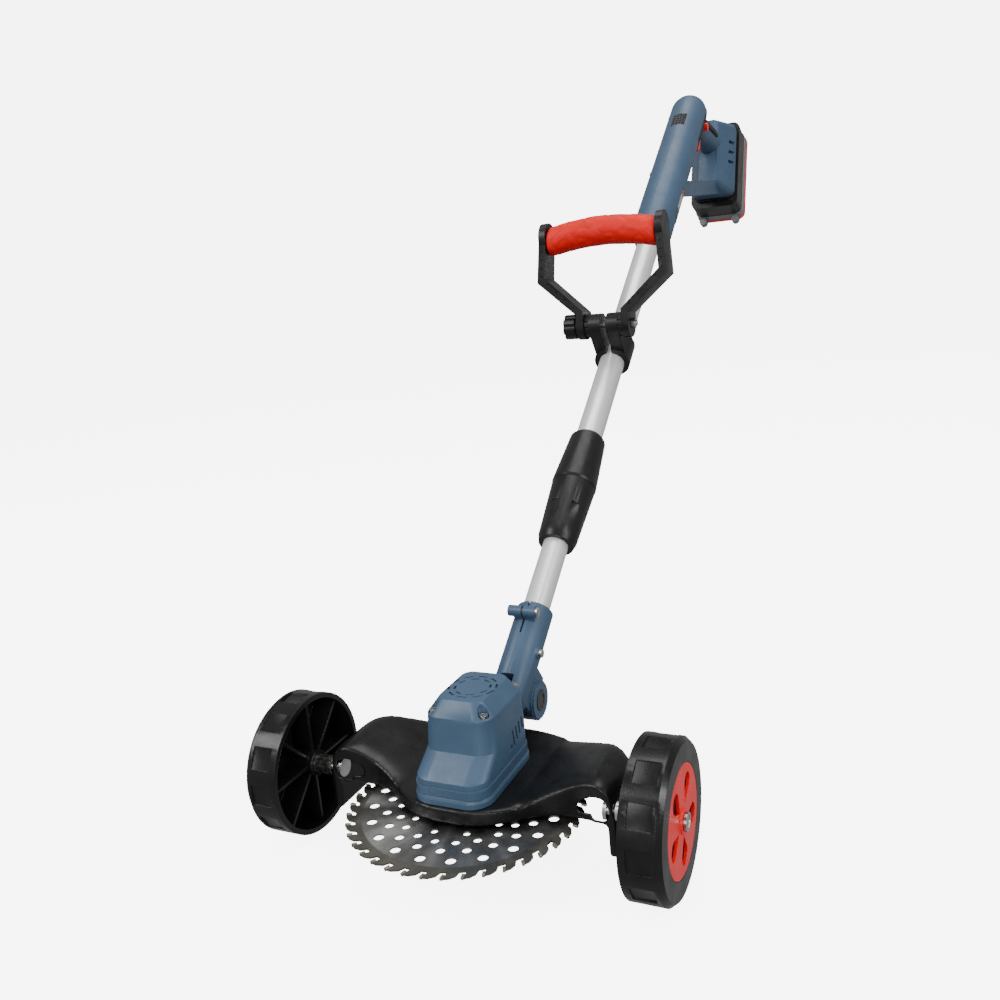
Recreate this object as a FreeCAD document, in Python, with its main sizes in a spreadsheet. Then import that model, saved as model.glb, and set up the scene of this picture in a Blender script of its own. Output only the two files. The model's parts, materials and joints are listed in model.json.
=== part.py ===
import FreeCAD, Part
import math
import os
import re

import Sketcher

# Battery brush cutter on two wheels, in millimetres.
# Floor frame: origin on the floor midway between the wheels, +Z up, -Y is the cutting side.
# Pole frame: Z runs up the pole from its foot, Y points to the underside of the pole.
# Pack frame: Z runs up the battery's outer plate, Y points away from the handle.
# Grip frame: origin on the front handle's bolt, Z points to the foam grip.

SIZES = [
    ("pole_tilt", 53.5), ("pole_foot_y", 80.7), ("pole_foot_z", 88.7),
    ("upper_tube_radius", 14), ("upper_tube_wall", 1.4), ("upper_tube_start", 206), ("upper_tube_end", 715),
    ("tube_running_gap", 0.08), ("lower_tube_wall", 1.5), ("lower_tube_start", 42), ("lower_tube_end", 430),
    ("collar_start", 178), ("collar_seam", 250), ("collar_end", 319),
    ("collar_radius", 22.5), ("collar_nose_radius", 16.5), ("sleeve_top_radius", 19),
    ("collet_radius", 16), ("collet_length", 22), ("part_gap", 0.4),
    ("neck_radius", 17), ("neck_start", 8), ("neck_end", 101), ("neck_slot_top", 26),
    ("pivot_drop", 25), ("pivot_rise", 24.4), ("pivot_radius", 18), ("pivot_half_width", 19),
    ("tongue_half_width", 5.7), ("tongue_radius", 15.5), ("pin_radius", 4), ("pin_gap", 0.08),
    ("button_radius", 9), ("button_depth", 3.2), ("button_travel", 2.5),
    ("blade_radius", 96.5), ("blade_thickness", 1.6), ("blade_z", 45.4), ("blade_y", -4),
    ("tooth_height", 8), ("tooth_count", 40), ("hole_count", 20), ("hole_radius", 4.1),
    ("tip_length", 4.4), ("tip_width", 2.2), ("tip_overhang", 0.6), ("tip_side_step", 0.3),
    ("spindle_radius", 5), ("flange_radius", 19),
    ("gear_module", 1), ("gear_teeth", 50), ("pinion_teeth", 12), ("gear_backlash", 0.1),
    ("gear_width", 9),
    ("plate_z", 62), ("plate_thickness", 7), ("housing_split_z", 119), ("housing_top_z", 134),
    ("base_half_width", 31), ("base_front_y", -33), ("base_back_y", 64), ("body_half_width", 29),
    ("body_front_y", -9), ("body_back_y", 64), ("can_radius", 20), ("can_gap", 0.6),
    ("bearing_gap", 0.05),
    ("motor_shaft_radius", 2.5), ("rotor_radius", 12), ("bearing_width", 4),
    ("guard_wall", 3), ("guard_span", 126), ("guard_skirt_z", 50), ("guard_leg_z", 25),
    ("guard_leg_width", 7),
    ("guard_shoulder_z", 84), ("guard_back_y", 102), ("guard_front_y", -38),
    ("wheel_radius", 60), ("wheel_width", 31), ("wheel_inner_x", 144), ("hub_disc_radius", 41.4),
    ("hub_disc_thickness", 3), ("axle_radius", 5), ("axle_gap", 0.1), ("wheel_web", 4), ("rib_count", 8),
    ("tread_count", 12), ("tread_depth", 1.5), ("boss_radius", 11), ("axle_flange_radius", 8),
    ("clamp_station", 452), ("clamp_rise", 42), ("clamp_radius", 20), ("clamp_length", 32),
    ("ear_inner_x", 3), ("ear_outer_x", 17), ("ear_radius", 13), ("bolt_radius", 3), ("arm_inner_x", 22),
    ("arm_thickness", 8), ("arm_spread", 66), ("arm_bend_height", 54), ("arm_half_width", 15),
    ("handle_lean", 5.5), ("grip_height", 99), ("grip_radius", 16.5), ("grip_bore", 8), ("grip_crown", 7),
    ("knob_radius", 14), ("knob_length", 16),
    ("barrel_start", 655), ("barrel_end", 958), ("barrel_radius", 25.5), ("shell_wall", 3),
    ("handle_slope", 8), ("handle_length", 140), ("handle_radius", 17.5), ("handle_drop", 8),
    ("handle_root", 7), ("strut_station", 796), ("strut_drop", 17), ("strut_pack_depth", 80),
    ("strut_pack_height", 24), ("strut_height", 20), ("strut_half_width", 13), ("pack_lean", 20),
    ("pack_drop", 106.8), ("pack_reach", 77),
    ("pack_height", 140), ("pack_half_width", 38), ("plate_depth", 7), ("band_depth", 16),
    ("pack_depth", 66), ("pack_corner", 11), ("foot_depth", 44), ("foot_bottom", 13), ("foot_top", 128),
    ("foot_half_width", 34), ("foot_front_half_width", 14), ("cell_radius", 9.1), ("cell_length", 65),
    ("trigger_thickness", 16), ("trigger_pivot_drop", 8), ("trigger_pivot_reach", 15),
    ("trigger_pin_radius", 1.5), ("latch_width", 18), ("pack_gap", 0.5), ("lock_button_radius", 5.5),
    ("lock_button_drop", 3), ("lock_button_reach", 27), ("lock_button_rise", 4), ("skin_thickness", 0.8),
    ("skin_length", 70), ("grille_half_width", 9), ("grille_height", 26.6), ("grille_drop", 69.6),
]

doc = FreeCAD.newDocument("BrushCutter")
sheet = doc.addObject("Spreadsheet::Sheet", "Sizes")
for row, (alias, number) in enumerate(SIZES, start=1):
    sheet.set("A%d" % row, alias.replace("_", " "))
    sheet.set("B%d" % row, str(number))
    sheet.setAlias("B%d" % row, alias)
doc.recompute()

ALIASES = {alias for alias, number in SIZES}
NODES = []
Vector = FreeCAD.Vector
Rotation = FreeCAD.Rotation
Placement = FreeCAD.Placement
ORIGIN = Placement()


# ---------------------------------------------------------------- helpers

def bound(text):
    """The expression with each size's name pointing at its cell."""
    def cell(word):
        return "Sizes." + word.group() if word.group() in ALIASES else word.group()

    return re.sub(r"[a-z_]+", cell, str(text))


def value(text):
    return float(sheet.evalExpression(bound(text)))


def turn_x(angle, y=0.0, z=0.0):
    return Placement(Vector(0, y, z), Rotation(Vector(1, 0, 0), angle))


def bind(shape, **sizes):
    for name, text in sizes.items():
        shape.setExpression(name, bound(text))
    return shape


TURNS = {
    "x": Rotation(Vector(0, 1, 0), 90),
    "y": Rotation(Vector(1, 0, 0), -90),
    "z": Rotation(),
}


def move(shape, x, y, z, rotation=Rotation()):
    shape.Placement = Placement(Vector(0, 0, 0), rotation)
    for name, text in (("x", x), ("y", y), ("z", z)):
        shape.setExpression("Placement.Base." + name, bound(text))
    return shape


def cylinder(name, radius, length, x=0, y=0, z=0, axis="z"):
    shape = doc.addObject("Part::Cylinder", name)
    bind(shape, Radius=radius, Height=length)
    return move(shape, x, y, z, TURNS[axis])


def cone(name, radius, end_radius, length, x=0, y=0, z=0, axis="z"):
    shape = doc.addObject("Part::Cone", name)
    bind(shape, Radius1=radius, Radius2=end_radius, Height=length)
    return move(shape, x, y, z, TURNS[axis])


def box(name, length, width, height, x, y, z):
    shape = doc.addObject("Part::Box", name)
    bind(shape, Length=length, Width=width, Height=height)
    return move(shape, x, y, z)


def wide_box(name, half_width, width, height, y, z):
    """A box centred on x = 0."""
    return box(name, "2 * (%s)" % half_width, width, height, "-(%s)" % half_width, y, z)


def ball(name, radius, x=0, y=0, z=0):
    shape = doc.addObject("Part::Sphere", name)
    bind(shape, Radius=radius)
    return move(shape, x, y, z)


def group(name, shapes, frame=ORIGIN):
    whole = doc.addObject("Part::Compound", name)
    whole.Links = shapes
    whole.Placement = frame
    return whole


def fuse(name, shapes, frame=ORIGIN):
    whole = doc.addObject("Part::MultiFuse", name)
    whole.Shapes = shapes
    whole.Refine = True
    whole.Placement = frame
    return whole


def cut(name, base, tools, frame=ORIGIN):
    whole = doc.addObject("Part::Cut", name)
    whole.Base = base
    whole.Tool = tools[0] if len(tools) == 1 else fuse(name + "_tools", tools)
    whole.Placement = frame
    return whole


def common(name, first, second, frame=ORIGIN):
    whole = doc.addObject("Part::MultiCommon", name)
    whole.Shapes = [first, second]
    whole.Placement = frame
    return whole


def tube(name, radius, bore, length, x=0, y=0, z=0, axis="z", frame=ORIGIN):
    outside = cylinder(name + "_outside", radius, length, x, y, z, axis)
    inside = cylinder(name + "_inside", bore, length, x, y, z, axis)
    return cut(name, outside, [inside], frame)


def copy_of(name, shape, frame):
    """The same shape at another place."""
    whole = doc.addObject("Part::Compound", name)
    whole.Links = [shape]
    whole.Placement = frame
    return whole


def around(count, radius, start=0.0):
    step = 360.0 / count
    for index in range(count):
        angle = math.radians(start + index * step)
        yield index, radius * math.cos(angle), radius * math.sin(angle)


def origin_plane(body, role):
    return [feature for feature in body.Origin.OriginFeatures if feature.Role == role][0]


def polygon_sketch(name, points, body=None, role="XY_Plane", lift=0):
    """A closed outline whose every corner is bound to the sheet."""
    if body is None:
        sketch = doc.addObject("Sketcher::SketchObject", name)
        sketch.Placement = Placement(Vector(0, 0, 0), Rotation())
        sketch.setExpression("Placement.Base.z", bound(lift))
    else:
        sketch = body.newObject("Sketcher::SketchObject", name)
        sketch.AttachmentSupport = [(origin_plane(body, role), "")]
        sketch.MapMode = "FlatFace"
        sketch.setExpression("AttachmentOffset.Base.z", bound(lift))
    corners = [Vector(value(x), value(y), 0) for x, y in points]
    count = len(corners)
    for index in range(count):
        sketch.addGeometry(Part.LineSegment(corners[index], corners[(index + 1) % count]))
    for index in range(count):
        sketch.addConstraint(Sketcher.Constraint("Coincident", index, 2, (index + 1) % count, 1))
    for index, (x, y) in enumerate(points):
        for kind, text, number in (("DistanceX", x, corners[index].x), ("DistanceY", y, corners[index].y)):
            row = sketch.addConstraint(Sketcher.Constraint(kind, -1, 1, index, 1, number))
            sketch.setExpression("Constraints[%d]" % row, bound(text))
    return sketch


def circle_sketch(name, radius, x, y, body, role="XY_Plane", lift=0):
    sketch = body.newObject("Sketcher::SketchObject", name)
    sketch.AttachmentSupport = [(origin_plane(body, role), "")]
    sketch.MapMode = "FlatFace"
    sketch.setExpression("AttachmentOffset.Base.z", bound(lift))
    sketch.addGeometry(Part.Circle(Vector(value(x), value(y), 0), Vector(0, 0, 1), value(radius)))
    rows = (("Radius", (0, value(radius)), radius), ("DistanceX", (-1, 1, 0, 3, value(x)), x),
            ("DistanceY", (-1, 1, 0, 3, value(y)), y))
    for kind, numbers, text in rows:
        row = sketch.addConstraint(Sketcher.Constraint(kind, *numbers))
        sketch.setExpression("Constraints[%d]" % row, bound(text))
    return sketch


def rounded_sketch(name, half_width, front, back, corner, lift, axis="y"):
    """A rectangle with round corners, centred on x = 0, in the plane z = lift or y = lift."""
    sketch = doc.addObject("Sketcher::SketchObject", name)
    rotation = Rotation() if axis == "y" else Rotation(Vector(1, 0, 0), 90)
    sketch.Placement = Placement(Vector(0, 0, 0), rotation)
    base = "Placement.Base.z" if axis == "y" else "Placement.Base.y"
    sketch.setExpression(base, bound(lift))
    wide = value(half_width)
    low = value(front)
    high = value(back)
    round_off = value(corner)
    centres = ((wide - round_off, low + round_off, -90), (wide - round_off, high - round_off, 0),
               (round_off - wide, high - round_off, 90), (round_off - wide, low + round_off, 180))
    for x, y, start in centres:
        circle = Part.Circle(Vector(x, y, 0), Vector(0, 0, 1), round_off)
        sketch.addGeometry(Part.ArcOfCircle(circle, math.radians(start), math.radians(start + 90)))
    for index in range(4):
        nearby = (index + 1) % 4
        start = sketch.getPoint(index, 2)
        end = sketch.getPoint(nearby, 1)
        sketch.addGeometry(Part.LineSegment(start, end))
    for index in range(4):
        line = 4 + index
        sketch.addConstraint(Sketcher.Constraint("Tangent", index, 2, line, 1))
        sketch.addConstraint(Sketcher.Constraint("Tangent", line, 2, (index + 1) % 4, 1))
        sketch.addConstraint(Sketcher.Constraint("Vertical" if index % 2 == 0 else "Horizontal", line))
    for index in range(3):
        sketch.addConstraint(Sketcher.Constraint("Equal", index, index + 1))
    rows = (("Radius", (0, round_off), corner), ("DistanceX", (-1, 1, 4, 1, wide), half_width),
            ("DistanceX", (-1, 1, 6, 1, -wide), "-(%s)" % half_width),
            ("DistanceY", (-1, 1, 7, 1, low), front), ("DistanceY", (-1, 1, 5, 1, high), back))
    for kind, numbers, text in rows:
        row = sketch.addConstraint(Sketcher.Constraint(kind, *numbers))
        sketch.setExpression("Constraints[%d]" % row, bound(text))
    return sketch


def loft(name, sections, frame=ORIGIN):
    whole = doc.addObject("Part::Loft", name)
    whole.Sections = sections
    whole.Solid = True
    whole.Ruled = True
    whole.Placement = frame
    return whole


def turned(name, points, frame=ORIGIN):
    """A body of revolution about z from half a section in (radius, height)."""
    body = doc.addObject("PartDesign::Body", name)
    sketch = polygon_sketch(name + "_section", points, body, "XZ_Plane")
    revolution = body.newObject("PartDesign::Revolution", name + "_turn")
    revolution.Profile = sketch
    revolution.ReferenceAxis = (sketch, ["V_Axis"])
    revolution.Angle = 360
    body.Tip = revolution
    body.Placement = frame
    return body


def padded(name, points, length, role="XY_Plane", middle=False, frame=ORIGIN, lift=0):
    body = doc.addObject("PartDesign::Body", name)
    sketch = polygon_sketch(name + "_outline", points, body, role, lift)
    pad = body.newObject("PartDesign::Pad", name + "_pad")
    pad.Profile = sketch
    pad.setExpression("Length", bound(length))
    pad.Midplane = middle
    body.Tip = pad
    body.Placement = frame
    return body


def add_feature(body, kind, name, sketch, length, reverse=False):
    feature = body.newObject("PartDesign::" + kind, name)
    feature.Profile = sketch
    feature.setExpression("Length", bound(length))
    feature.Reversed = reverse
    body.Tip = feature
    return feature


def repeat_around(body, name, features, count):
    pattern = body.newObject("PartDesign::PolarPattern", name)
    pattern.Originals = features
    pattern.Axis = (features[0].Profile[0], ["N_Axis"])
    pattern.Angle = 360
    pattern.setExpression("Occurrences", bound(count))
    body.Tip = pattern
    return pattern


def node(shape, label):
    """Marks a finished sub-part, which is written to a file of that name."""
    shape.Label = label
    NODES.append(shape)
    return shape


POLE = turn_x(-value("pole_tilt"), value("pole_foot_y"), value("pole_foot_z"))
BOLT = POLE.multVec(Vector(0, -value("clamp_rise"), value("clamp_station")))
GRIP = turn_x(-value("handle_lean"), BOLT.y, BOLT.z)
PIVOT = POLE.multVec(Vector(0, value("pivot_drop"), value("pivot_rise")))
HANDLE_ROOT = POLE.multVec(Vector(0, value("handle_drop"), value("barrel_end - handle_root")))
HANDLE = turn_x(-90 - value("handle_slope"), HANDLE_ROOT.y, HANDLE_ROOT.z)
PACK_FOOT = HANDLE.multVec(Vector(0, value("pack_drop"), value("handle_length + pack_reach")))
PACK = turn_x(-value("pack_lean"), PACK_FOOT.y, PACK_FOOT.z)
STRUT_START = POLE.multVec(Vector(0, value("strut_drop"), value("strut_station")))
STRUT_END = PACK.multVec(Vector(0, -value("strut_pack_depth"), value("strut_pack_height")))
STRUT_RUN = STRUT_END - STRUT_START
STRUT = turn_x(math.degrees(math.atan2(STRUT_RUN.z, STRUT_RUN.y)), STRUT_START.y, STRUT_START.z)


# ---------------------------------------------------------------- pole and lock

def make_pole():
    bore = "upper_tube_radius - upper_tube_wall"
    inner = "upper_tube_radius - upper_tube_wall - tube_running_gap"
    node(tube("UpperTube", "upper_tube_radius", bore, "upper_tube_end - upper_tube_start",
              z="upper_tube_start", frame=POLE), "upper_tube")
    node(tube("LowerTube", inner, inner + " - lower_tube_wall", "lower_tube_end - lower_tube_start",
              z="lower_tube_start", frame=POLE), "lower_tube")
    node(turned("LockSleeve", [
        ("upper_tube_radius", "collar_seam"), ("collar_radius", "collar_seam"),
        ("collar_radius + 0.6", "collar_seam + 3"), ("sleeve_top_radius", "collar_end - 5"),
        ("sleeve_top_radius - 4", "collar_end"), ("upper_tube_radius", "collar_end")], POLE), "lock_sleeve")
    blank = turned("ColletBlank", [
        (bore, "upper_tube_start - collet_length"), ("collet_radius - 2", "upper_tube_start - collet_length"),
        ("collet_radius", "upper_tube_start - 8"), ("collet_radius", "upper_tube_start"),
        (bore, "upper_tube_start")])
    slot = box("ColletSlot", 1.5, 30, "collet_length", -0.75, 5, "upper_tube_start - collet_length")
    node(cut("Collet", blank, [slot], POLE), "tube_collet")


def make_collar():
    seat = "collet_radius + part_gap"
    blank = turned("CollarBlank", [
        ("upper_tube_radius - 1", "collar_start"), ("collar_nose_radius + 1", "collar_start"),
        ("collar_radius - 3", "collar_start + 7"), ("collar_radius", "collar_seam - part_gap"),
        ("upper_tube_radius + part_gap", "collar_seam - part_gap"),
        ("upper_tube_radius + part_gap", "collar_seam - 30"),
        (seat, "collar_seam - 36"), (seat, "collar_start + 5"),
        ("upper_tube_radius - 1", "collar_start + 5")])
    panels = []
    for index in range(6):
        panel = box("CollarPanel%d" % index, 3, 9, 30, "collar_radius - 2.6", -4.5, "collar_start + 12")
        panels.append(copy_of("CollarPanelTurned%d" % index, panel,
                              Placement(Vector(), Rotation(Vector(0, 0, 1), 60 * index + 15))))
    node(cut("Collar", blank, panels, POLE), "lock_collar")


# ---------------------------------------------------------------- neck and pivot

def make_neck():
    bore = "upper_tube_radius - upper_tube_wall - tube_running_gap"
    barrel = cylinder("NeckBarrel", "neck_radius", "neck_end - neck_start", z="neck_start")
    rim = cone("NeckFoot", "neck_radius - 2", "neck_radius", 4, z="neck_start - 4")
    cheeks = cylinder("NeckCheeks", "pivot_radius", "2 * pivot_half_width - 3", "1.5 - pivot_half_width",
                      "pivot_drop", "pivot_rise", "x")
    faces = cylinder("NeckFaces", "pivot_radius - 1.5", "2 * pivot_half_width", "-pivot_half_width",
                     "pivot_drop", "pivot_rise", "x")
    web = wide_box("NeckWeb", "neck_radius - 1.5", "pivot_drop", "pivot_rise + 14", 0, "neck_start")
    lug = cylinder("ClampLug", 5.2, 26, -14, -23, "neck_end - 15", "x")
    lug_web = wide_box("ClampLugWeb", 9, 14, 10, -24, "neck_end - 20")
    boss = cylinder("ScrewBoss", 5.5, 6, 12, -3, "neck_end - 45", "x")
    solid = fuse("NeckSolid", [barrel, rim, cheeks, faces, web, lug, lug_web, boss])
    tube_seat = cylinder("NeckSeat", bore, "neck_end", z="lower_tube_start - 0.2")
    slot = wide_box("NeckSlot", "tongue_half_width + part_gap", 80, "neck_slot_top + 10", -40, -10)
    sweep = cylinder("NeckSweep", "tongue_radius + 0.9", "2 * (tongue_half_width + part_gap)",
                     "-(tongue_half_width + part_gap)", "pivot_drop", "pivot_rise", "x")
    pin_hole = cylinder("NeckPinHole", "pin_radius", "2 * pivot_half_width", "-pivot_half_width",
                        "pivot_drop", "pivot_rise", "x")
    recess = cylinder("ButtonRecess", "button_radius + 0.5", "button_depth + button_travel + 1",
                      "pivot_half_width - button_depth - button_travel", "pivot_drop", "pivot_rise", "x")
    split = wide_box("ClampSplit", 0.9, 20, 34, -32, "neck_end - 33")
    first_hole = cylinder("LugHole", 2.5, 30, -15, -23, "neck_end - 15", "x")
    side_hole = cylinder("SideHole", 2.2, 8, 11.5, -3, "neck_end - 45", "x")
    node(cut("Neck", solid, [tube_seat, slot, sweep, pin_hole, recess, split, first_hole, side_hole], POLE),
         "pivot_neck")
    screws = []
    places = (("LugScrew", -13, 25, -23, "neck_end - 15"), ("SideScrew", 12.6, 5.4, -3, "neck_end - 45"))
    for name, start, length, across, station in places:
        radius = 2.5 if start < 0 else 2.2
        shank = cylinder(name + "Shank", radius, length, start, across, station, "x")
        head = cylinder(name + "Head", 4, 2.6, start + length, across, station, "x")
        solid_screw = fuse(name + "Solid", [shank, head])
        groove = box(name + "Groove", 1.2, 1.3, 10, start + length + 1.5, across - 0.65, station + " - 5")
        screws.append(cut(name, solid_screw, [groove]))
    node(group("NeckScrews", screws, POLE), "neck_screws")
    pin = cylinder("PinShank", "pin_radius", "2 * pivot_half_width - button_depth - button_travel - 0.4",
                   "-pivot_half_width", "pivot_drop", "pivot_rise", "x")
    node(group("PivotPin", [pin], POLE), "pivot_pin")
    button = cylinder("ButtonDisc", "button_radius", "button_depth", "pivot_half_width - button_depth + 0.6",
                      "pivot_drop", "pivot_rise", "x")
    dish = cylinder("ButtonDish", "button_radius - 2.5", 0.6, "pivot_half_width",
                    "pivot_drop", "pivot_rise", "x")
    node(cut("PivotButton", button, [dish], POLE), "pivot_button")


# ---------------------------------------------------------------- motor head

MOTOR_Y = "blade_y + gear_module * (gear_teeth + pinion_teeth) / 2 + gear_backlash"


def make_motor_housing():
    top = "plate_z + plate_thickness"
    stations = (
        ("base_half_width", "base_front_y", "base_back_y", 16, top),
        ("base_half_width", "base_front_y", "base_back_y", 16, top + " + 12"),
        ("body_half_width + 1", "body_front_y - 3", "body_back_y + 1", 14, top + " + 26"),
        ("body_half_width", "body_front_y", "body_back_y", 14, "housing_top_z - 12"),
        ("body_half_width - 9", "body_front_y + 9", "body_back_y - 9", 9, "housing_top_z"))
    sections = []
    for index, (half, front, back, corner, lift) in enumerate(stations):
        sections.append(rounded_sketch("HousingSection%d" % index, half, front, back, corner, lift))
    shell = loft("HousingShell", sections)
    step = rounded_sketch("HousingStepLow", "base_half_width + 1.2", "base_front_y - 1.2", "base_back_y",
                          16.6, top)
    step_top = rounded_sketch("HousingStepHigh", "base_half_width + 1.2", "base_front_y - 1.2", "base_back_y",
                              16.6, top + " + 7")
    step_ring = loft("HousingStep", [step, step_top])
    arm = wide_box("TongueArm", "tongue_half_width", "%s - base_back_y + 6" % PIVOT.y, 19,
                   "base_back_y - 6", PIVOT.z - 10)
    eye = cylinder("TongueEye", "tongue_radius", "2 * tongue_half_width", "-tongue_half_width", PIVOT.y,
                   PIVOT.z, "x")
    outside = fuse("HousingOutside", [shell, step_ring, arm, eye])
    gear_z = "plate_z + plate_thickness - 0.1"
    gear_pit = cylinder("GearPit", "gear_module * gear_teeth / 2 + 2.2", 13.1, 0, "blade_y", gear_z)
    pinion_pit = cylinder("PinionPit", "gear_module * pinion_teeth / 2 + 3", 13.1, 0, MOTOR_Y, gear_z)
    motor_pit = cylinder("MotorPit", "can_radius + 0.1", "housing_split_z - plate_z - 23", 0, MOTOR_Y,
                         "plate_z + 27")
    shaft_hole = cylinder("ShaftHole", "motor_shaft_radius + 1", 20, 0, MOTOR_Y, "plate_z + 12")
    low_seat = cylinder("MotorBearingSeat", 8, "bearing_width + 1", 0, MOTOR_Y, "plate_z + 19")
    spindle_seat = cylinder("SpindleBearingSeat", 9.5, 6.1, 0, "blade_y", "plate_z + 19.9")
    pivot_hole = cylinder("PivotHole", "pin_radius + pin_gap", 40, -20, PIVOT.y, PIVOT.z, "x")
    cutters = [gear_pit, pinion_pit, motor_pit, shaft_hole, low_seat, spindle_seat, pivot_hole]
    for index in range(4):
        cutters.append(box("SideVent%d" % index, 16, 2.4, 13 - index, "body_half_width - 10",
                           30 + 6 * index, 84 + 2.2 * index))
    cutters.append(box("SideVentDot", 16, 3, 3, "body_half_width - 10", 24, 84))
    hollow = cut("HousingHollow", outside, cutters)
    lower_half = box("HousingLowerHalf", 200, 260, 200, -100, -100, "housing_split_z - 200")
    node(common("MotorHousing", hollow, lower_half), "motor_housing")

    upper_half = box("CoverHalf", 200, 200, 60, -100, -100, "housing_split_z")
    cap = common("CoverBlank", shell, upper_half)
    cap_pit = cylinder("CoverPit", "can_radius + 0.1", 6, 0, MOTOR_Y, "housing_split_z - 2")
    cap_seat = cylinder("CoverBearingSeat", 8, "bearing_width + 0.1", 0, MOTOR_Y, "housing_split_z + 3.9")
    cap_shaft = cylinder("CoverShaftHole", "motor_shaft_radius + 1", 4, 0, MOTOR_Y, "housing_split_z + 7")
    cap_tools = [cap_pit, cap_seat, cap_shaft]
    middle = value(MOTOR_Y)
    for radius, count, width in ((19.5, 10, 8), (14.5, 8, 6.5)):
        for index, x, y in around(count, radius, 18):
            vent = doc.addObject("Part::Box", "TopVent%d_%d" % (count, index))
            vent.Length = 1.8
            vent.Width = width
            vent.Height = 4
            angle = 18 + index * 360.0 / count
            centre = Vector(x, y + middle, value("housing_top_z") - 2)
            turn = Placement(centre, Rotation(Vector(0, 0, 1), angle))
            vent.Placement = turn.multiply(Placement(Vector(-0.9, -width / 2, 0), Rotation()))
            cap_tools.append(vent)
    corners = [("body_half_width - 7", "body_front_y + 8"), ("7 - body_half_width", "body_front_y + 8"),
               ("body_half_width - 7", "body_back_y - 8"), ("7 - body_half_width", "body_back_y - 8")]
    screws = []
    for index, (x, y) in enumerate(corners):
        cap_tools.append(cylinder("ScrewWell%d" % index, 4.5, 30, x, y, "housing_top_z - 11"))
        cap_tools.append(cylinder("ScrewHole%d" % index, 2, 20, x, y, "housing_split_z - 5"))
        shank = cylinder("CoverScrewShank%d" % index, 1.9, "housing_top_z - 11 - housing_split_z", x, y,
                         "housing_split_z")
        head = cylinder("CoverScrewHead%d" % index, 3.6, 2.6, x, y, "housing_top_z - 11")
        socket = cylinder("CoverScrewSocket%d" % index, 1.6, 2, x, y, "housing_top_z - 10")
        screws.append(cut("CoverScrew%d" % index, fuse("CoverScrewSolid%d" % index, [shank, head]), [socket]))
    node(cut("MotorCover", cap, cap_tools), "motor_cover")
    node(group("CoverScrews", screws), "cover_screws")

    plate_sections = []
    for index, (grow, lift) in enumerate(((2.4, "plate_z"), (2.4, "plate_z + 4.5"), (1.2, top))):
        plate_sections.append(rounded_sketch(
            "PlateSection%d" % index, "base_half_width + %s" % grow, "base_front_y - %s" % grow,
            "base_back_y + %s" % (grow - 1.2), "16 + %s" % grow, lift))
    plate = loft("PlateBlank", plate_sections)
    bearing_hole = cylinder("PlateBearingHole", 11, 20, 0, "blade_y", "plate_z - 5")
    node(cut("GearboxPlate", plate, [bearing_hole]), "gearbox_plate")
    spindle_bore = "spindle_radius + bearing_gap"
    lower_bearing = tube("LowerBearing", 11, spindle_bore, "plate_thickness", 0, "blade_y", "plate_z")
    upper_bearing = tube("UpperBearing", 9.5, spindle_bore, 6, 0, "blade_y", "plate_z + 20")
    node(group("SpindleBearings", [lower_bearing, upper_bearing]), "spindle_bearings")
    motor_bore = "motor_shaft_radius + bearing_gap"
    low = tube("MotorBearingLow", 8, motor_bore, "bearing_width", 0, MOTOR_Y, "plate_z + 20")
    high = tube("MotorBearingHigh", 8, motor_bore, "bearing_width", 0, MOTOR_Y, "housing_split_z + 4")
    node(group("MotorBearings", [low, high]), "motor_bearings")
    node(tube("MotorCan", "can_radius", "rotor_radius + can_gap", "housing_split_z - plate_z - 30", 0,
              MOTOR_Y, "plate_z + 28"), "motor_stator")


# ---------------------------------------------------------------- gears, blade and rotor

def gear_shape(teeth, bore, phase):
    """A spur gear whose flanks are involute curves, thinned by the backlash."""
    module = value("gear_module")
    width = value("gear_width")
    pitch = module * teeth / 2.0
    base = pitch * math.cos(math.radians(20))
    root = pitch - 1.25 * module
    tip = pitch + 0.95 * module
    half_tooth = math.pi / (2 * teeth) - value("gear_backlash") / pitch
    involute = lambda angle: math.tan(angle) - angle
    start = max(root, base)

    def flank(side, centre):
        points = []
        for step in range(5):
            radius = start + (tip - start) * step / 4.0
            pressure = math.acos(min(1.0, base / radius))
            angle = half_tooth + involute(math.radians(20)) - involute(pressure)
            points.append(Vector(radius * math.cos(centre + side * angle),
                                 radius * math.sin(centre + side * angle), 0))
        return points

    edges = []
    previous = None
    first = None
    for index in range(teeth):
        centre = phase + index * 2 * math.pi / teeth
        rising = flank(-1, centre)
        falling = list(reversed(flank(1, centre)))
        foot_angle = math.atan2(rising[0].y, rising[0].x)
        foot = Vector(root * math.cos(foot_angle), root * math.sin(foot_angle), 0)
        end_angle = math.atan2(falling[-1].y, falling[-1].x)
        end = Vector(root * math.cos(end_angle), root * math.sin(end_angle), 0)
        if previous is None:
            first = foot
        else:
            edges.append(Part.LineSegment(previous, foot).toShape())
        if foot.distanceToPoint(rising[0]) > 1e-3:
            edges.append(Part.LineSegment(foot, rising[0]).toShape())
        curve = Part.BSplineCurve()
        curve.interpolate(rising)
        edges.append(curve.toShape())
        edges.append(Part.LineSegment(rising[-1], falling[0]).toShape())
        curve = Part.BSplineCurve()
        curve.interpolate(falling)
        edges.append(curve.toShape())
        if end.distanceToPoint(falling[-1]) > 1e-3:
            edges.append(Part.LineSegment(falling[-1], end).toShape())
            previous = end
        else:
            previous = falling[-1]
    edges.append(Part.LineSegment(previous, first).toShape())
    solid = Part.Face(Part.Wire(edges)).extrude(Vector(0, 0, width))
    return solid.cut(Part.makeCylinder(bore, width))


def feature(name, shape, placement):
    part = doc.addObject("Part::Feature", name)
    part.Shape = shape
    part.Placement = placement
    return part


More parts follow.
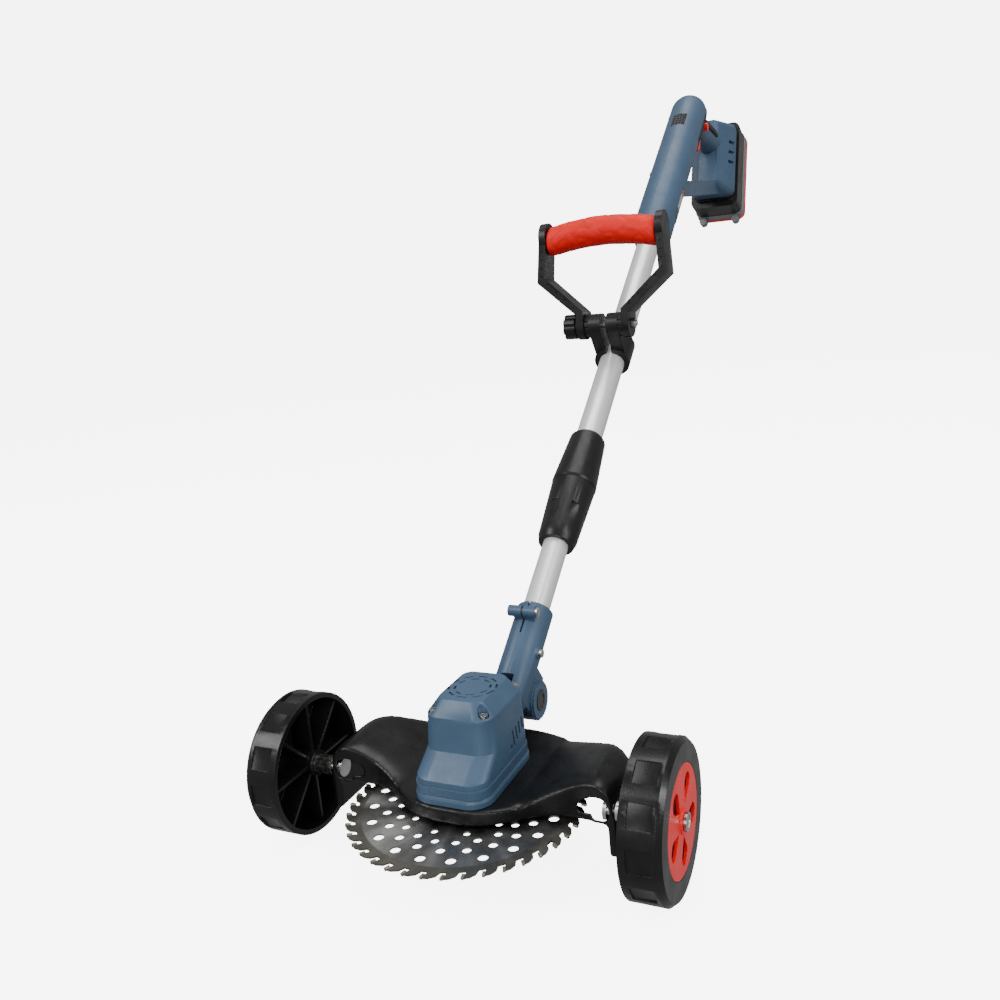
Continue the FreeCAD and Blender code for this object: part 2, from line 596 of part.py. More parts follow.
def make_drive():
    gear_z = value("plate_z + 9")
    wheel = gear_shape(int(value("gear_teeth")), value("spindle_radius"), math.pi / 2)
    gear_place = Placement(Vector(0, value("blade_y"), gear_z), Rotation())
    node(feature("DriveGear", wheel, gear_place), "drive_gear")
    teeth = int(value("pinion_teeth"))
    pinion = gear_shape(teeth, value("motor_shaft_radius"), -math.pi / 2 + math.pi / teeth)
    node(feature("Pinion", pinion, Placement(Vector(0, value(MOTOR_Y), gear_z), Rotation())), "motor_pinion")
    height = "housing_split_z - plate_z"
    shaft = cylinder("RotorShaft", "motor_shaft_radius", height, 0, MOTOR_Y, "plate_z + 8")
    core = cylinder("RotorCore", "rotor_radius", height + " - 36", 0, MOTOR_Y, "plate_z + 31")
    node(fuse("MotorRotor", [shaft, core]), "motor_rotor")
    spindle_low = cylinder("SpindleLow", "spindle_radius", "plate_z + 25.5 - blade_z + 6", 0, "blade_y",
                           "blade_z - 6")
    node(group("Spindle", [spindle_low]), "blade_spindle")
    upper = tube("UpperFlange", "flange_radius", "spindle_radius", 3.2, 0, "blade_y",
                 "blade_z + blade_thickness")
    lower = tube("LowerFlange", "flange_radius - 2", "spindle_radius", 2, 0, "blade_y", "blade_z - 2")
    node(group("BladeFlanges", [upper, lower]), "blade_flanges")
    nut = doc.addObject("Part::Prism", "NutBlank")
    nut.Polygon = 6
    bind(nut, Circumradius=8.5, Height=6)
    move(nut, 0, "blade_y", "blade_z - 8")
    nut_hole = cylinder("NutHole", "spindle_radius", 30, 0, "blade_y", "blade_z - 6")
    node(cut("BladeNut", nut, [nut_hole]), "blade_nut")


def make_blade():
    root = "blade_radius - tooth_height"
    body = doc.addObject("PartDesign::Body", "Blade")
    disc = add_feature(body, "Pad", "BladeDisc", circle_sketch("BladeCircle", root, 0, 0, body),
                       "blade_thickness")
    pitch = "(6.2832 * blade_radius / tooth_count)"
    outline = [(root + " - 2", "0"), (root, "0"), ("blade_radius - 0.6", "-%s * 0.16" % pitch),
               ("blade_radius - 0.8", "%s * 0.1" % pitch),
               ("blade_radius - tooth_height * 0.45", "%s * 0.42" % pitch),
               (root + " - 2", "%s * 0.62" % pitch)]
    tooth = add_feature(body, "Pad", "BladeTooth", polygon_sketch("ToothOutline", outline, body),
                        "blade_thickness")
    doc.recompute()
    repeat_around(body, "BladeTeeth", [tooth], "tooth_count")
    doc.recompute()
    bore = add_feature(body, "Pocket", "BladeBore", circle_sketch("BoreCircle", "spindle_radius", 0, 0, body),
                       "blade_thickness", True)
    rings = ((0.78, 1.0, 0), (0.655, 0.88, 0.5), (0.545, 0.8, 0))
    for index, (share, size, phase) in enumerate(rings):
        angle = math.radians(phase * 360.0 / value("hole_count"))
        x = "blade_radius * %.5f" % (share * math.cos(angle))
        y = "blade_radius * %.5f" % (share * math.sin(angle))
        hole = add_feature(body, "Pocket", "RingHole%d" % index,
                           circle_sketch("RingCircle%d" % index, "hole_radius * %s" % size, x, y, body),
                           "blade_thickness", True)
        doc.recompute()
        repeat_around(body, "HoleRing%d" % index, [hole], "hole_count")
        doc.recompute()
    inner = add_feature(body, "Pocket", "InnerHole",
                        circle_sketch("InnerCircle", "hole_radius * 0.7", "blade_radius * 0.43",
                                      "blade_radius * 0.07", body), "blade_thickness", True)
    doc.recompute()
    repeat_around(body, "InnerHoles", [inner], "hole_count / 2")
    body.Placement = Placement(Vector(0, value("blade_y"), value("blade_z")), Rotation())
    node(body, "saw_blade")

    tips = []
    length = value("tip_length")
    width = value("tip_width")
    overhang = value("tip_overhang")
    tall = value("blade_thickness") + 2 * value("tip_side_step")
    point = Vector(value("blade_radius") - 0.6, value("-%s * 0.16" % pitch), 0)
    face_angle = math.degrees(math.atan2(point.y, point.x - value(root)))
    for index in range(int(value("tooth_count"))):
        tip = Part.makeBox(length, width, tall, Vector(overhang - length, -width, -value("tip_side_step")))
        tip.rotate(Vector(), Vector(0, 0, 1), face_angle)
        tip.translate(point)
        tip.rotate(Vector(), Vector(0, 0, 1), index * 360.0 / value("tooth_count"))
        tips.append(tip)
    place = Placement(Vector(0, value("blade_y"), value("blade_z")), Rotation())
    node(feature("CarbideTips", Part.makeCompound(tips), place), "carbide_tips")


# ---------------------------------------------------------------- guard, axles and wheels

def outline_face(points):
    """A face in the plane z = 0 from straight runs and three-point arcs, mirrored in x."""
    half = []
    here = Vector(*points[0])
    for item in points[1:]:
        if len(item) == 2:
            end = Vector(*item[1])
            half.append(Part.Arc(here, Vector(*item[0]), end).toShape())
        else:
            end = Vector(*item[0])
            half.append(Part.LineSegment(here, end).toShape())
        here = end
    other = [edge.mirror(Vector(), Vector(1, 0, 0)) for edge in half]
    return Part.Face(Part.Wire(Part.__sortEdges__(half + other)))


def make_guard():
    span = value("guard_span")
    wall = value("guard_wall")
    front = value("guard_front_y")
    back = value("guard_back_y")
    top = value("plate_z")
    shoulder = value("guard_shoulder_z")

    def plan(inset):
        return outline_face([
            (0, front + inset, 0), ((30, front + 4 + inset, 0), (52, front + 17 + inset, 0)),
            ((78, front + 32 + inset, 0), (104, front + 33 + inset, 0)),
            ((span - inset, front + 30 + inset, 0),), ((span - inset, 46 - inset, 0),),
            ((98, 66 - inset, 0), (62, 88 - inset, 0)), ((32, back - 3 - inset, 0), (0, back - inset, 0))])

    def rise(drop):
        side = span - drop
        return outline_face([
            (0, 0, 0), ((side, 0, 0),), ((side, shoulder - 16, 0),),
            ((side - 6, shoulder - 4 - drop, 0), (side - 20, shoulder - drop, 0)),
            ((84, top + 13 - drop, 0), (52, top - drop, 0)), ((0, top - drop, 0),)])

    def block(plan_face, rise_face):
        column = plan_face.extrude(Vector(0, 0, 200))
        bar = rise_face.copy()
        bar.rotate(Vector(), Vector(1, 0, 0), 90)
        bar = bar.extrude(Vector(0, 300, 0))
        bar.translate(Vector(0, -150, 0))
        return column.common(bar)

    outer = block(plan(0), rise(0))
    inner = block(plan(wall), rise(wall))
    shell = outer.cut(inner)
    leg = value("guard_leg_width")
    for side in (-1, 1):
        plate = Part.makeBox(leg, 50, shoulder - 20 - value("guard_leg_z"),
                             Vector(span - leg if side > 0 else -span, front + 31, value("guard_leg_z")))
        shell = shell.fuse(plate)
    skirt = value("guard_skirt_z")
    below = Part.makeBox(2 * (span - leg), 400, skirt, Vector(leg - span, -200, 0))
    shell = shell.cut(below)
    below_legs = Part.makeBox(4 * span, 400, value("guard_leg_z"), Vector(-2 * span, -200, 0))
    shell = shell.cut(below_legs)
    hub = Part.makeCylinder(value("spindle_radius") + 7, 80, Vector(0, value("blade_y"), 0))
    shell = shell.cut(hub)
    for side in (-1, 1):
        start = Vector(side * (span - 30), 0, value("wheel_radius"))
        hole = Part.makeCylinder(value("axle_radius"), 60, start, Vector(side, 0, 0))
        room = Part.makeCylinder(value("axle_flange_radius") + 1, 12,
                                 Vector(side * (span - leg), 0, value("wheel_radius")), Vector(-side, 0, 0))
        shell = shell.cut(hole).cut(room)
    shell = shell.removeSplitter()
    node(feature("Guard", shell, ORIGIN), "blade_guard")


def wheel_frame(side):
    """Local z points outwards along the axle, from the wheel's inner face."""
    turn = Rotation(Vector(0, 1, 0), 90 * side)
    return Placement(Vector(side * value("wheel_inner_x"), 0, value("wheel_radius")), turn)


def make_wheels():
    recess = "wheel_width - hub_disc_thickness"
    for side, word in ((-1, "left"), (1, "right")):
        frame = wheel_frame(side)
        body = turned("Wheel_" + word, [
            ("axle_radius + axle_gap", 0), ("boss_radius", 0), ("boss_radius", recess + " - wheel_web"),
            ("wheel_radius - 6", recess + " - wheel_web"), ("wheel_radius - 4.5", 0), ("wheel_radius", 0),
            ("wheel_radius", "wheel_width - 4"), ("wheel_radius - 3.5", "wheel_width"),
            ("hub_disc_radius + 0.3", "wheel_width"), ("hub_disc_radius + 0.3", recess),
            ("axle_radius + axle_gap", recess)])
        outline = [("boss_radius - 1", -1.2), ("wheel_radius - 5", -1.2), ("wheel_radius - 5", 1.2),
                   ("boss_radius - 1", 1.2)]
        rib = add_feature(body, "Pad", "Rib_" + word, polygon_sketch("RibOutline_" + word, outline, body,
                                                                      lift=4), recess + " - wheel_web - 4")
        doc.recompute()
        repeat_around(body, "Ribs_" + word, [rib], "rib_count")
        doc.recompute()
        panel = [("wheel_radius - tread_depth", -10), ("wheel_radius + 3", -10), ("wheel_radius + 3", 8),
                 ("wheel_radius - tread_depth", 8)]
        tread = add_feature(body, "Pocket", "Tread_" + word,
                            polygon_sketch("TreadOutline_" + word, panel, body, lift=6),
                            "wheel_width - 13", True)
        doc.recompute()
        repeat_around(body, "Treads_" + word, [tread], "tread_count")
        body.Placement = frame
        node(body, "wheel_" + word)

        disc = doc.addObject("PartDesign::Body", "HubDisc_" + word)
        add_feature(disc, "Pad", "DiscPad_" + word,
                    circle_sketch("DiscCircle_" + word, "hub_disc_radius", 0, 0, disc, lift=recess),
                    "hub_disc_thickness")
        add_feature(disc, "Pad", "DiscBoss_" + word,
                    circle_sketch("BossCircle_" + word, 9.5, 0, 0, disc, lift=recess),
                    "hub_disc_thickness + 1.5")
        centre = "hub_disc_radius * 0.66"
        round_hole = add_feature(disc, "Pocket", "Drop_" + word,
                                 circle_sketch("DropCircle_" + word, 7.6, centre, 0, disc, lift=recess),
                                 "hub_disc_thickness + 3", True)
        point = [(centre + " - 16", 0), (centre + " - 3.6", -6.69), (centre + " - 3.6", 6.69)]
        sharp_hole = add_feature(disc, "Pocket", "DropPoint_" + word,
                                 polygon_sketch("DropOutline_" + word, point, disc, lift=recess),
                                 "hub_disc_thickness + 3", True)
        doc.recompute()
        repeat_around(disc, "Drops_" + word, [round_hole, sharp_hole], 5)
        doc.recompute()
        add_feature(disc, "Pocket", "DiscBore_" + word,
                    circle_sketch("DiscBoreCircle_" + word, "axle_radius + axle_gap", 0, 0, disc,
                                  lift=recess),
                    "hub_disc_thickness + 5", True)
        disc.Placement = frame
        node(disc, "hub_disc_" + word)

        inner_end = "guard_span - guard_leg_width - 3 - wheel_inner_x"
        rod = cylinder("AxleRod_" + word, "axle_radius", "wheel_width + 3.5 - (%s)" % inner_end, z=inner_end)
        collar = cylinder("AxleCollar_" + word, "axle_flange_radius", "wheel_inner_x - guard_span - part_gap",
                          z="guard_span - wheel_inner_x")
        flange = cylinder("AxleFlange_" + word, "axle_flange_radius", 3, z=inner_end)
        node(fuse("Axle_" + word, [rod, collar, flange], frame), "axle_" + word)
        cap = tube("AxleCap_" + word, 7, "axle_radius", 2, z="wheel_width + 1.9", frame=frame)
        node(cap, "axle_clip_" + word)


# ---------------------------------------------------------------- front handle

def make_clamp():
    half = "clamp_length / 2"
    ring = cylinder("ClampRing", "clamp_radius", "clamp_length", 0, 0, "clamp_station - " + half)
    block = wide_box("ClampBlock", "ear_outer_x", "clamp_rise", "2 * ear_radius", "-clamp_rise",
                     "clamp_station - ear_radius")
    ears = cylinder("ClampEars", "ear_radius", "2 * ear_outer_x", "-ear_outer_x", "-clamp_rise",
                    "clamp_station", "x")
    solid = fuse("ClampSolid", [ring, block, ears])
    bore = cylinder("ClampBore", "upper_tube_radius + tube_running_gap", 200, 0, 0, "clamp_station - 100")
    gap = wide_box("ClampGap", "ear_inner_x", "clamp_rise + ear_radius", 200,
                   "-clamp_rise - ear_radius - 2", "clamp_station - 100")
    bolt_hole = cylinder("ClampBoltHole", "bolt_radius", 80, -40, "-clamp_rise", "clamp_station", "x")
    node(cut("HandleClamp", solid, [bore, gap, bolt_hole], POLE), "handle_clamp")
    discs = []
    for side, word in ((-1, "Left"), (1, "Right")):
        start = "ear_outer_x" if side > 0 else "-arm_inner_x + 0.3"
        disc = cylinder("LockDisc" + word, "ear_radius", "arm_inner_x - ear_outer_x - 0.3", start,
                        "-clamp_rise", "clamp_station", "x")
        hole = cylinder("LockDiscHole" + word, "bolt_radius", 80, -40, "-clamp_rise", "clamp_station", "x")
        notches = [hole]
        for index, y, z in around(12, value("ear_radius")):
            notch = cylinder("Notch%s%d" % (word, index), 1.1, 12, start,
                             "%s - clamp_rise" % round(y, 4), "%s + clamp_station" % round(z, 4), "x")
            notches.append(notch)
        discs.append(cut("LockDiscCut" + word, disc, notches))
    node(group("LockDiscs", discs, POLE), "clamp_lock_discs")
    reach = "arm_inner_x + arm_thickness"
    shank = cylinder("BoltShank", "bolt_radius", "2 * (%s) + knob_length + 4" % reach,
                     "-(%s) - knob_length + 2" % reach, "-clamp_rise", "clamp_station", "x")
    head = doc.addObject("Part::Prism", "BoltHead")
    head.Polygon = 6
    bind(head, Circumradius=5.6, Height=4)
    move(head, reach + " + 0.4", "-clamp_rise", "clamp_station", TURNS["x"])
    node(fuse("ClampBolt", [shank, head], POLE), "clamp_bolt")


def make_front_handle():
    outer = "arm_spread + arm_thickness / 2"
    inner = "arm_spread - arm_thickness / 2"
    reach = "arm_inner_x + arm_thickness"
    for side, word in ((-1, "left"), (1, "right")):
        sign = "" if side > 0 else "-1 * "
        outline = [("arm_inner_x", 0), (reach, 0), (reach, 12), (outer + " + 4", "arm_bend_height - 4"),
                   (outer, "grip_height"), (inner, "grip_height"), (inner + " + 3", "arm_bend_height + 1"),
                   ("arm_inner_x", 16)]
        points = [(sign + "(%s)" % x, y) for x, y in outline]
        body = padded("ArmStrip_" + word, points, "2 * arm_half_width", "XZ_Plane", True)
        eye = cylinder("ArmEye_" + word, "arm_half_width", "arm_thickness",
                       "arm_inner_x" if side > 0 else "-(%s)" % reach, 0, 0, "x")
        cap = cylinder("ArmCap_" + word, "arm_half_width + 2", "arm_thickness",
                       inner if side > 0 else "-(%s)" % outer, 0, "grip_height", "x")
        solid = fuse("ArmSolid_" + word, [body, eye, cap])
        hole = cylinder("ArmHole_" + word, "bolt_radius + 0.1", 200, -100, 0, 0, "x")
        tools = [hole]
        for index in range(9):
            share = (index + 0.5) / 9
            high = "16 + (grip_height - 18) * %.4f" % share
            dimple = cylinder("Dimple_%s%d" % (word, index), 1, 1.6,
                              "%s(%s)" % (sign, dimple_across(share)), "-arm_half_width - 0.1", high, "y")
            tools.append(dimple)
        node(cut("Arm_" + word, solid, tools, GRIP), "handle_arm_" + word)

    chord = inner
    curve = "(((%s) * (%s) + grip_crown * grip_crown) / (2 * grip_crown))" % (chord, chord)

    def bow(name, radius):
        ring = doc.addObject("Part::Torus", name)
        bind(ring, Radius1=curve, Radius2=radius)
        ring.Angle3 = 40
        turn = Rotation(Vector(1, 0, 0), 90).multiply(Rotation(Vector(0, 0, 1), 70))
        ring.Placement = Placement(Vector(0, 0, 0), turn)
        ring.setExpression("Placement.Base.z", bound("grip_height + grip_crown - 4 - " + curve))
        return ring

    room = box("GripRoom", "2 * (%s)" % chord, 200, 200, "-(%s)" % chord, -100, "grip_height - 100")
    core_room = box("CoreRoom", "2 * (%s)" % chord, 200, 200, "-(%s)" % chord, -100, "grip_height - 100")
    node(common("GripCore", bow("CoreBow", "grip_bore"), core_room, GRIP), "grip_core")
    sleeve = common("FoamBlank", bow("FoamBow", "grip_radius"), room)
    node(cut("FoamGrip", sleeve, [bow("FoamBore", "grip_bore")], GRIP), "foam_grip")

    knob = cylinder("KnobBody", "knob_radius", "knob_length - 3", "-(%s) - knob_length" % reach, 0, 0, "x")
    collar = cylinder("KnobCollar", "knob_radius - 3", 3, "-(%s) - 3 - 0.4" % reach, 0, 0, "x")
    knob_solid = fuse("KnobSolid", [knob, collar])
    flutes = [cylinder("KnobBore", "bolt_radius + 0.05", 200, "-(%s) - knob_length + 1.5" % reach, 0, 0, "x")]
    for index, y, z in around(8, value("knob_radius") + 1.5):
        flutes.append(cylinder("Flute%d" % index, 3.2, "knob_length", "-(%s) - knob_length" % reach,
                               round(y, 4), round(z, 4), "x"))
    node(cut("HandleKnob", knob_solid, flutes, GRIP), "handle_knob")


def dimple_across(share):
    """Distance from the middle of the arm's front edge, out along the slanted run and then up."""
    bend = (value("arm_bend_height") - 16) / (value("grip_height") - 18)
    start = value("arm_inner_x + arm_thickness / 2") + 1
    end = value("arm_spread") + 3
    if share < bend:
        return round(start + (end - start) * share / bend, 4)
    return round(end - 3 * (share - bend) / (1 - bend), 4)


# ---------------------------------------------------------------- rear housing

def make_rear_housing():
    barrel = cylinder("BarrelBody", "barrel_radius", "barrel_end - barrel_start - 22", z="barrel_start + 22")
    nose = cone("BarrelNose", "upper_tube_radius + 4", "barrel_radius", 22, z="barrel_start")
    dome = ball("BarrelDome", "barrel_radius", z="barrel_end")
    barrel_shell = fuse("BarrelShell", [barrel, nose, dome], POLE)
    handle = cylinder("HandleBar", "handle_radius", "handle_length + 15", z=-12)
    handle_placed = group("HandleBarPlaced", [handle], HANDLE)
    strut_bar = wide_box("StrutBar", "strut_half_width", STRUT_RUN.Length, "strut_height", 0,
                         "-strut_height / 2")
    strut = group("StrutPlaced", [strut_bar], STRUT)
    sections = []
    back = "-(pack_depth + 0.2)"
    for index, (half, low, high, corner, lift) in enumerate((
            ("foot_half_width", "foot_bottom", "foot_top", 10, back),
            ("foot_half_width", "foot_bottom", "foot_top", 10, back + " - 10"),
            ("foot_front_half_width", "foot_bottom + 6", "foot_top - 6", 8, back + " - foot_depth"))):
        sections.append(rounded_sketch("FootSection%d" % index, half, low, high, corner, lift, "z"))
    foot = loft("FootShell", sections, PACK)
    solid = fuse("RearSolid", [barrel_shell, handle_placed, strut, foot])

    tube_seat = cylinder("TubeSeat", "upper_tube_radius", "upper_tube_end - barrel_start", z="barrel_start")
    hollow = cylinder("BarrelHollow", "barrel_radius - shell_wall", "barrel_end - upper_tube_end - 4",
                      z="upper_tube_end + 2")
    barrel_tools = fuse("BarrelTools", [tube_seat, hollow], POLE)
    handle_hollow = group("HandleHollowPlaced", [cylinder("HandleHollow", "handle_radius - shell_wall",
                                                          "handle_length - 40", z=14)], HANDLE)
    foot_hollow = group("FootHollowPlaced", [box(
        "FootHollow", "2 * (foot_front_half_width - shell_wall)", "foot_depth - 8",
        "foot_top - foot_bottom - 30", "shell_wall - foot_front_half_width",
        "4 - pack_depth - foot_depth", "foot_bottom + 14")], PACK)
    tools = [barrel_tools, handle_hollow, foot_hollow]
    for index in range(3):
        tools.append(group("FootSlotPlaced%d" % index, [box(
            "FootSlot%d" % index, 30, 12, 5, "foot_front_half_width + 6", "-pack_depth - 22",
            "foot_bottom + %d" % (46 + 16 * index))], PACK))
    grille_cut = wide_box("GrilleCut", "grille_half_width + part_gap", 12, "grille_height + 2 * part_gap",
                          "-barrel_radius - 4", "barrel_end - grille_drop - part_gap")
    tools.append(group("GrilleCutPlaced", [grille_cut], POLE))
    trigger_slot = wide_box("TriggerSlot", "trigger_thickness / 2 + part_gap", 22, 36,
                            "trigger_pivot_drop - 4.5", 8)
    tools.append(group("TriggerSlotPlaced", [trigger_slot], HANDLE))
    lock_hole = cylinder("LockHole", "lock_button_radius + part_gap", 60, -30, "lock_button_drop",
                         "lock_button_reach", "x")
    lock_hole_placed = group("LockHolePlaced", [lock_hole], HANDLE)
    tools.append(lock_hole_placed)
    pin_length = "trigger_thickness + 14"
    pin_hole = cylinder("PinHole", "trigger_pin_radius", pin_length, "-(%s) / 2" % pin_length,
                        "trigger_pivot_drop", "trigger_pivot_reach", "x")
    tools.append(group("PinHolePlaced", [pin_hole], HANDLE))
    screw_places = ((-8, 690), (-8, 800), (-6, 940), (8, 860))
    screws = []
    screw_holes = []
    for index, (y, z) in enumerate(screw_places):
        screws.append(cylinder("HousingScrew%d" % index, 2.6, 3, -25, y, z, "x"))
        screw_holes.append(cylinder("HousingScrewHole%d" % index, 2.6, 6, -28, y, z, "x"))
    tools.append(group("ScrewHolesPlaced", screw_holes, POLE))
    node(group("HousingScrews", screws, POLE), "housing_screws")
    shell = cut("RearShell", solid, tools)
    for side, word in ((-1, "left"), (1, "right")):
        half = box("HalfSpace_" + word, 200, 800, 800, -200 if side < 0 else 0, 400, 300)
        node(common("RearHalf_" + word, shell, half), "rear_housing_" + word)

    pad = cylinder("OvermouldOuter", "handle_radius + 2.2", "handle_length - 62", z=26)
    pad_bore = cylinder("OvermouldInner", "handle_radius", "handle_length - 60", z=25)
    pad_keep = wide_box("OvermouldKeep", 40, 60, 300, -60, -10)
    ring = cut("OvermouldRing", pad, [pad_bore])
    pad_side = common("OvermouldBack", ring, pad_keep)
    lock_room = cylinder("LockRoom", "lock_button_radius + 1", 80, -40, "lock_button_drop",
                         "lock_button_reach", "x")
    pad_placed = group("OvermouldPlaced", [cut("OvermouldPad", pad_side, [lock_room])], HANDLE)
    skin_blank = fuse("SkinBlank", [
        cylinder("SkinTube", "barrel_radius + skin_thickness", "skin_length", z="barrel_end - skin_length"),
        ball("SkinDome", "barrel_radius + skin_thickness", z="barrel_end")])
    skin_keep = wide_box("SkinKeep", 60, 60, 200, 2, "barrel_end - skin_length")
    skin_back = common("SkinBack", skin_blank, skin_keep)
    skin_core = fuse("SkinCore", [
        cylinder("SkinCoreTube", "barrel_radius", "skin_length + 2", z="barrel_end - skin_length - 1"),
        ball("SkinCoreDome", "barrel_radius", z="barrel_end")])
    skin_placed = group("SkinPlaced", [cut("SkinShell", skin_back, [skin_core])], POLE)
    handle_room = cylinder("HandleRoom", "handle_radius + 0.1", 80, z=-20)
    handle_room_placed = group("HandleRoomPlaced", [handle_room], HANDLE)
    lock_room_placed = group("LockRoomPlaced", [lock_room], HANDLE)
    skin = cut("BarrelSkin", skin_placed, [handle_room_placed, lock_room_placed])
    node(group("GripOvermould", [pad_placed, skin]), "grip_overmould")

    plate = wide_box("GrillePlate", "grille_half_width", 3, "grille_height", "-barrel_radius + 0.6",
                     "barrel_end - grille_drop")
    holes = []
    for row in range(4):
        for column in range(4):
            holes.append(cylinder("GrilleHole%d_%d" % (row, column), 1.3, 10,
                                  "grille_half_width * %.3f" % (0.49 * column - 0.735), "-barrel_radius - 2",
                                  "barrel_end - grille_drop + grille_height * %.3f" % (0.16 + 0.226 * row),
                                  "y"))
    node(cut("VentGrille", plate, holes, POLE), "vent_grille")

    label = tube("LabelRing", "barrel_radius + 0.5", "barrel_radius", 61, z="barrel_start + 52")
    label_keep = box("LabelKeep", 40, 13, 200, 5, -2, "barrel_start")
    node(common("SideLabel", label, label_keep, POLE), "side_label")

    board = box("BoardPlate", 1.6, 30, 90, -0.8, -15, "upper_tube_end + 20")
    node(group("ControlBoard", [board], POLE), "control_board")
    switch = wide_box("SwitchBody", 7, 15, 30, -9, 50)
    node(group("SwitchModule", [switch], HANDLE), "switch_module")


def make_trigger():
    half = "trigger_thickness / 2"
    ear = "trigger_pivot_drop - 3.5"
    outline = [(ear, 11.5), ("handle_radius + 4", 11), ("handle_radius + 17", 19),
               ("handle_radius + 19", 27), ("handle_radius + 12", 36), ("handle_radius - 5", 38),
               ("handle_radius - 5", 19.5), (ear, 18.5)]
    body = padded("TriggerBody", outline, "trigger_thickness", "YZ_Plane", True)
    hole = cylinder("TriggerPivotHole", "trigger_pin_radius + 0.1", 30, -15, "trigger_pivot_drop",
                    "trigger_pivot_reach", "x")
    node(cut("Trigger", body, [hole], HANDLE), "trigger")
    pin_length = "trigger_thickness + 14"
    pin = cylinder("TriggerPinRod", "trigger_pin_radius", pin_length, "-(%s) / 2" % pin_length,
                   "trigger_pivot_drop", "trigger_pivot_reach", "x")
    node(group("TriggerPin", [pin], HANDLE), "trigger_pin")
    button = cylinder("LockButtonRod", "lock_button_radius", "2 * (handle_radius + lock_button_rise)",
                      "-handle_radius - lock_button_rise", "lock_button_drop", "lock_button_reach", "x")
    node(group("LockOffButton", [button], HANDLE), "lock_off_button")


# ---------------------------------------------------------------- battery

def make_battery():
    def slab(name, half, low, high, corner, near, far):
        first = rounded_sketch(name + "Near", half, low, high, corner, "-(%s)" % near, "z")
        second = rounded_sketch(name + "Far", half, low, high, corner, "-(%s)" % far, "z")
        return loft(name + "Slab", [first, second])

    base = slab("Base", "pack_half_width + 1", -1, "pack_height + 1", "pack_corner + 1", 0, "plate_depth")
    node(group("BatteryBase", [base], PACK), "battery_base")
    near = "plate_depth"
    band_end = "plate_depth + band_depth"
    band = slab("Band", "pack_half_width", 0, "pack_height", "pack_corner", near, band_end)
    band_hole = slab("BandHole", "pack_half_width - 3", 3, "pack_height - 3", "pack_corner - 3",
                     near + " - 1", band_end + " + 1")
    node(cut("BatteryBand", band, [band_hole], PACK), "battery_band")
    case = slab("Case", "pack_half_width - 1", 1, "pack_height - 1", "pack_corner", band_end,
                "pack_depth - 6")
    top = slab("CaseTop", "pack_half_width - 6", 10, "pack_height - 6", "pack_corner", "pack_depth - 6",
               "pack_depth - pack_gap")
    case_hole = wide_box("CaseHole", "pack_half_width - 4", "pack_depth - 12", "pack_height - 8",
                         "-pack_depth + 10", 4)
    case_solid = fuse("CaseSolid", [case, top])
    latch_hole = wide_box("LatchHole", "latch_width / 2 + part_gap", 10, 14, "-pack_depth + 12",
                          "pack_height - 8")
    node(cut("BatteryCase", case_solid, [case_hole, latch_hole], PACK), "battery_case")
    cells = []
    for row in range(2):
        for column in range(5):
            cells.append(cylinder("Cell%d%d" % (row, column), "cell_radius", "cell_length",
                                  "-cell_length / 2",
                                  "-plate_depth - 3 - cell_radius - %d * 2 * (cell_radius + 0.4)" % row,
                                  "24 + cell_radius + %d * 2 * (cell_radius + 0.4)" % column, "x"))
    node(group("BatteryCells", cells, PACK), "battery_cells")
    feet = []
    for index, x in enumerate((-26, 26)):
        feet.append(cylinder("Bumper%d" % index, 6, 12, x, "-plate_depth - 8 - 6", -5, "y"))
    feet_solid = group("BumperSet", feet)
    feet_keep = wide_box("BumperKeep", 60, 60, 20, -50, -20)
    node(common("BatteryBumpers", feet_solid, feet_keep, PACK), "battery_bumpers")
    latch = wide_box("LatchBar", "latch_width / 2", 8, 12, "-pack_depth + 13", "pack_height - 6")
    node(group("BatteryLatch", [latch], PACK), "battery_latch")


make_pole()
make_collar()
make_neck()
make_motor_housing()
make_drive()
make_blade()
make_guard()
make_wheels()
make_clamp()
make_front_handle()
make_rear_housing()
make_trigger()
make_battery()
doc.recompute()

# ---------------------------------------------------------------- checks and files

failed = [thing.Name for thing in doc.Objects if "Invalid" in thing.State or "Error" in thing.State]
if failed:
    raise RuntimeError("objects that failed: " + ", ".join(failed))
for part in NODES:
    if part.Shape.isNull() or not part.Shape.isValid() or not part.Shape.Solids:
        raise RuntimeError("bad shape: " + part.Label)

os.makedirs("parts", exist_ok=True)
for part in NODES:
    part.Shape.exportStep("parts/%s.step" % part.Label)
    bounds = part.Shape.BoundBox
    print("%-20s %3d solids %10.0f mm3  x %7.1f %7.1f  y %7.1f %7.1f  z %7.1f %7.1f" % (
        part.Label, len(part.Shape.Solids), part.Shape.Volume, bounds.XMin, bounds.XMax, bounds.YMin,
        bounds.YMax, bounds.ZMin, bounds.ZMax))
print(len(NODES), "nodes")
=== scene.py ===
# %% [markdown]
# This scene dresses a wheeled brush cutter: a small motor head with a saw blade under a moulded guard,
# a two-part pole, a foam front handle and a rear grip with its battery. Every sub-part arrives from the
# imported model, already in its place, in metres. The script gives each of them its finish, and builds
# the shapes that a drawing leaves plain: rounded mouldings, a soft-shouldered guard and a foam sleeve.

# %% Load the frame
import json
import math

import bmesh
import bpy
from mathutils import Matrix, Vector, noise

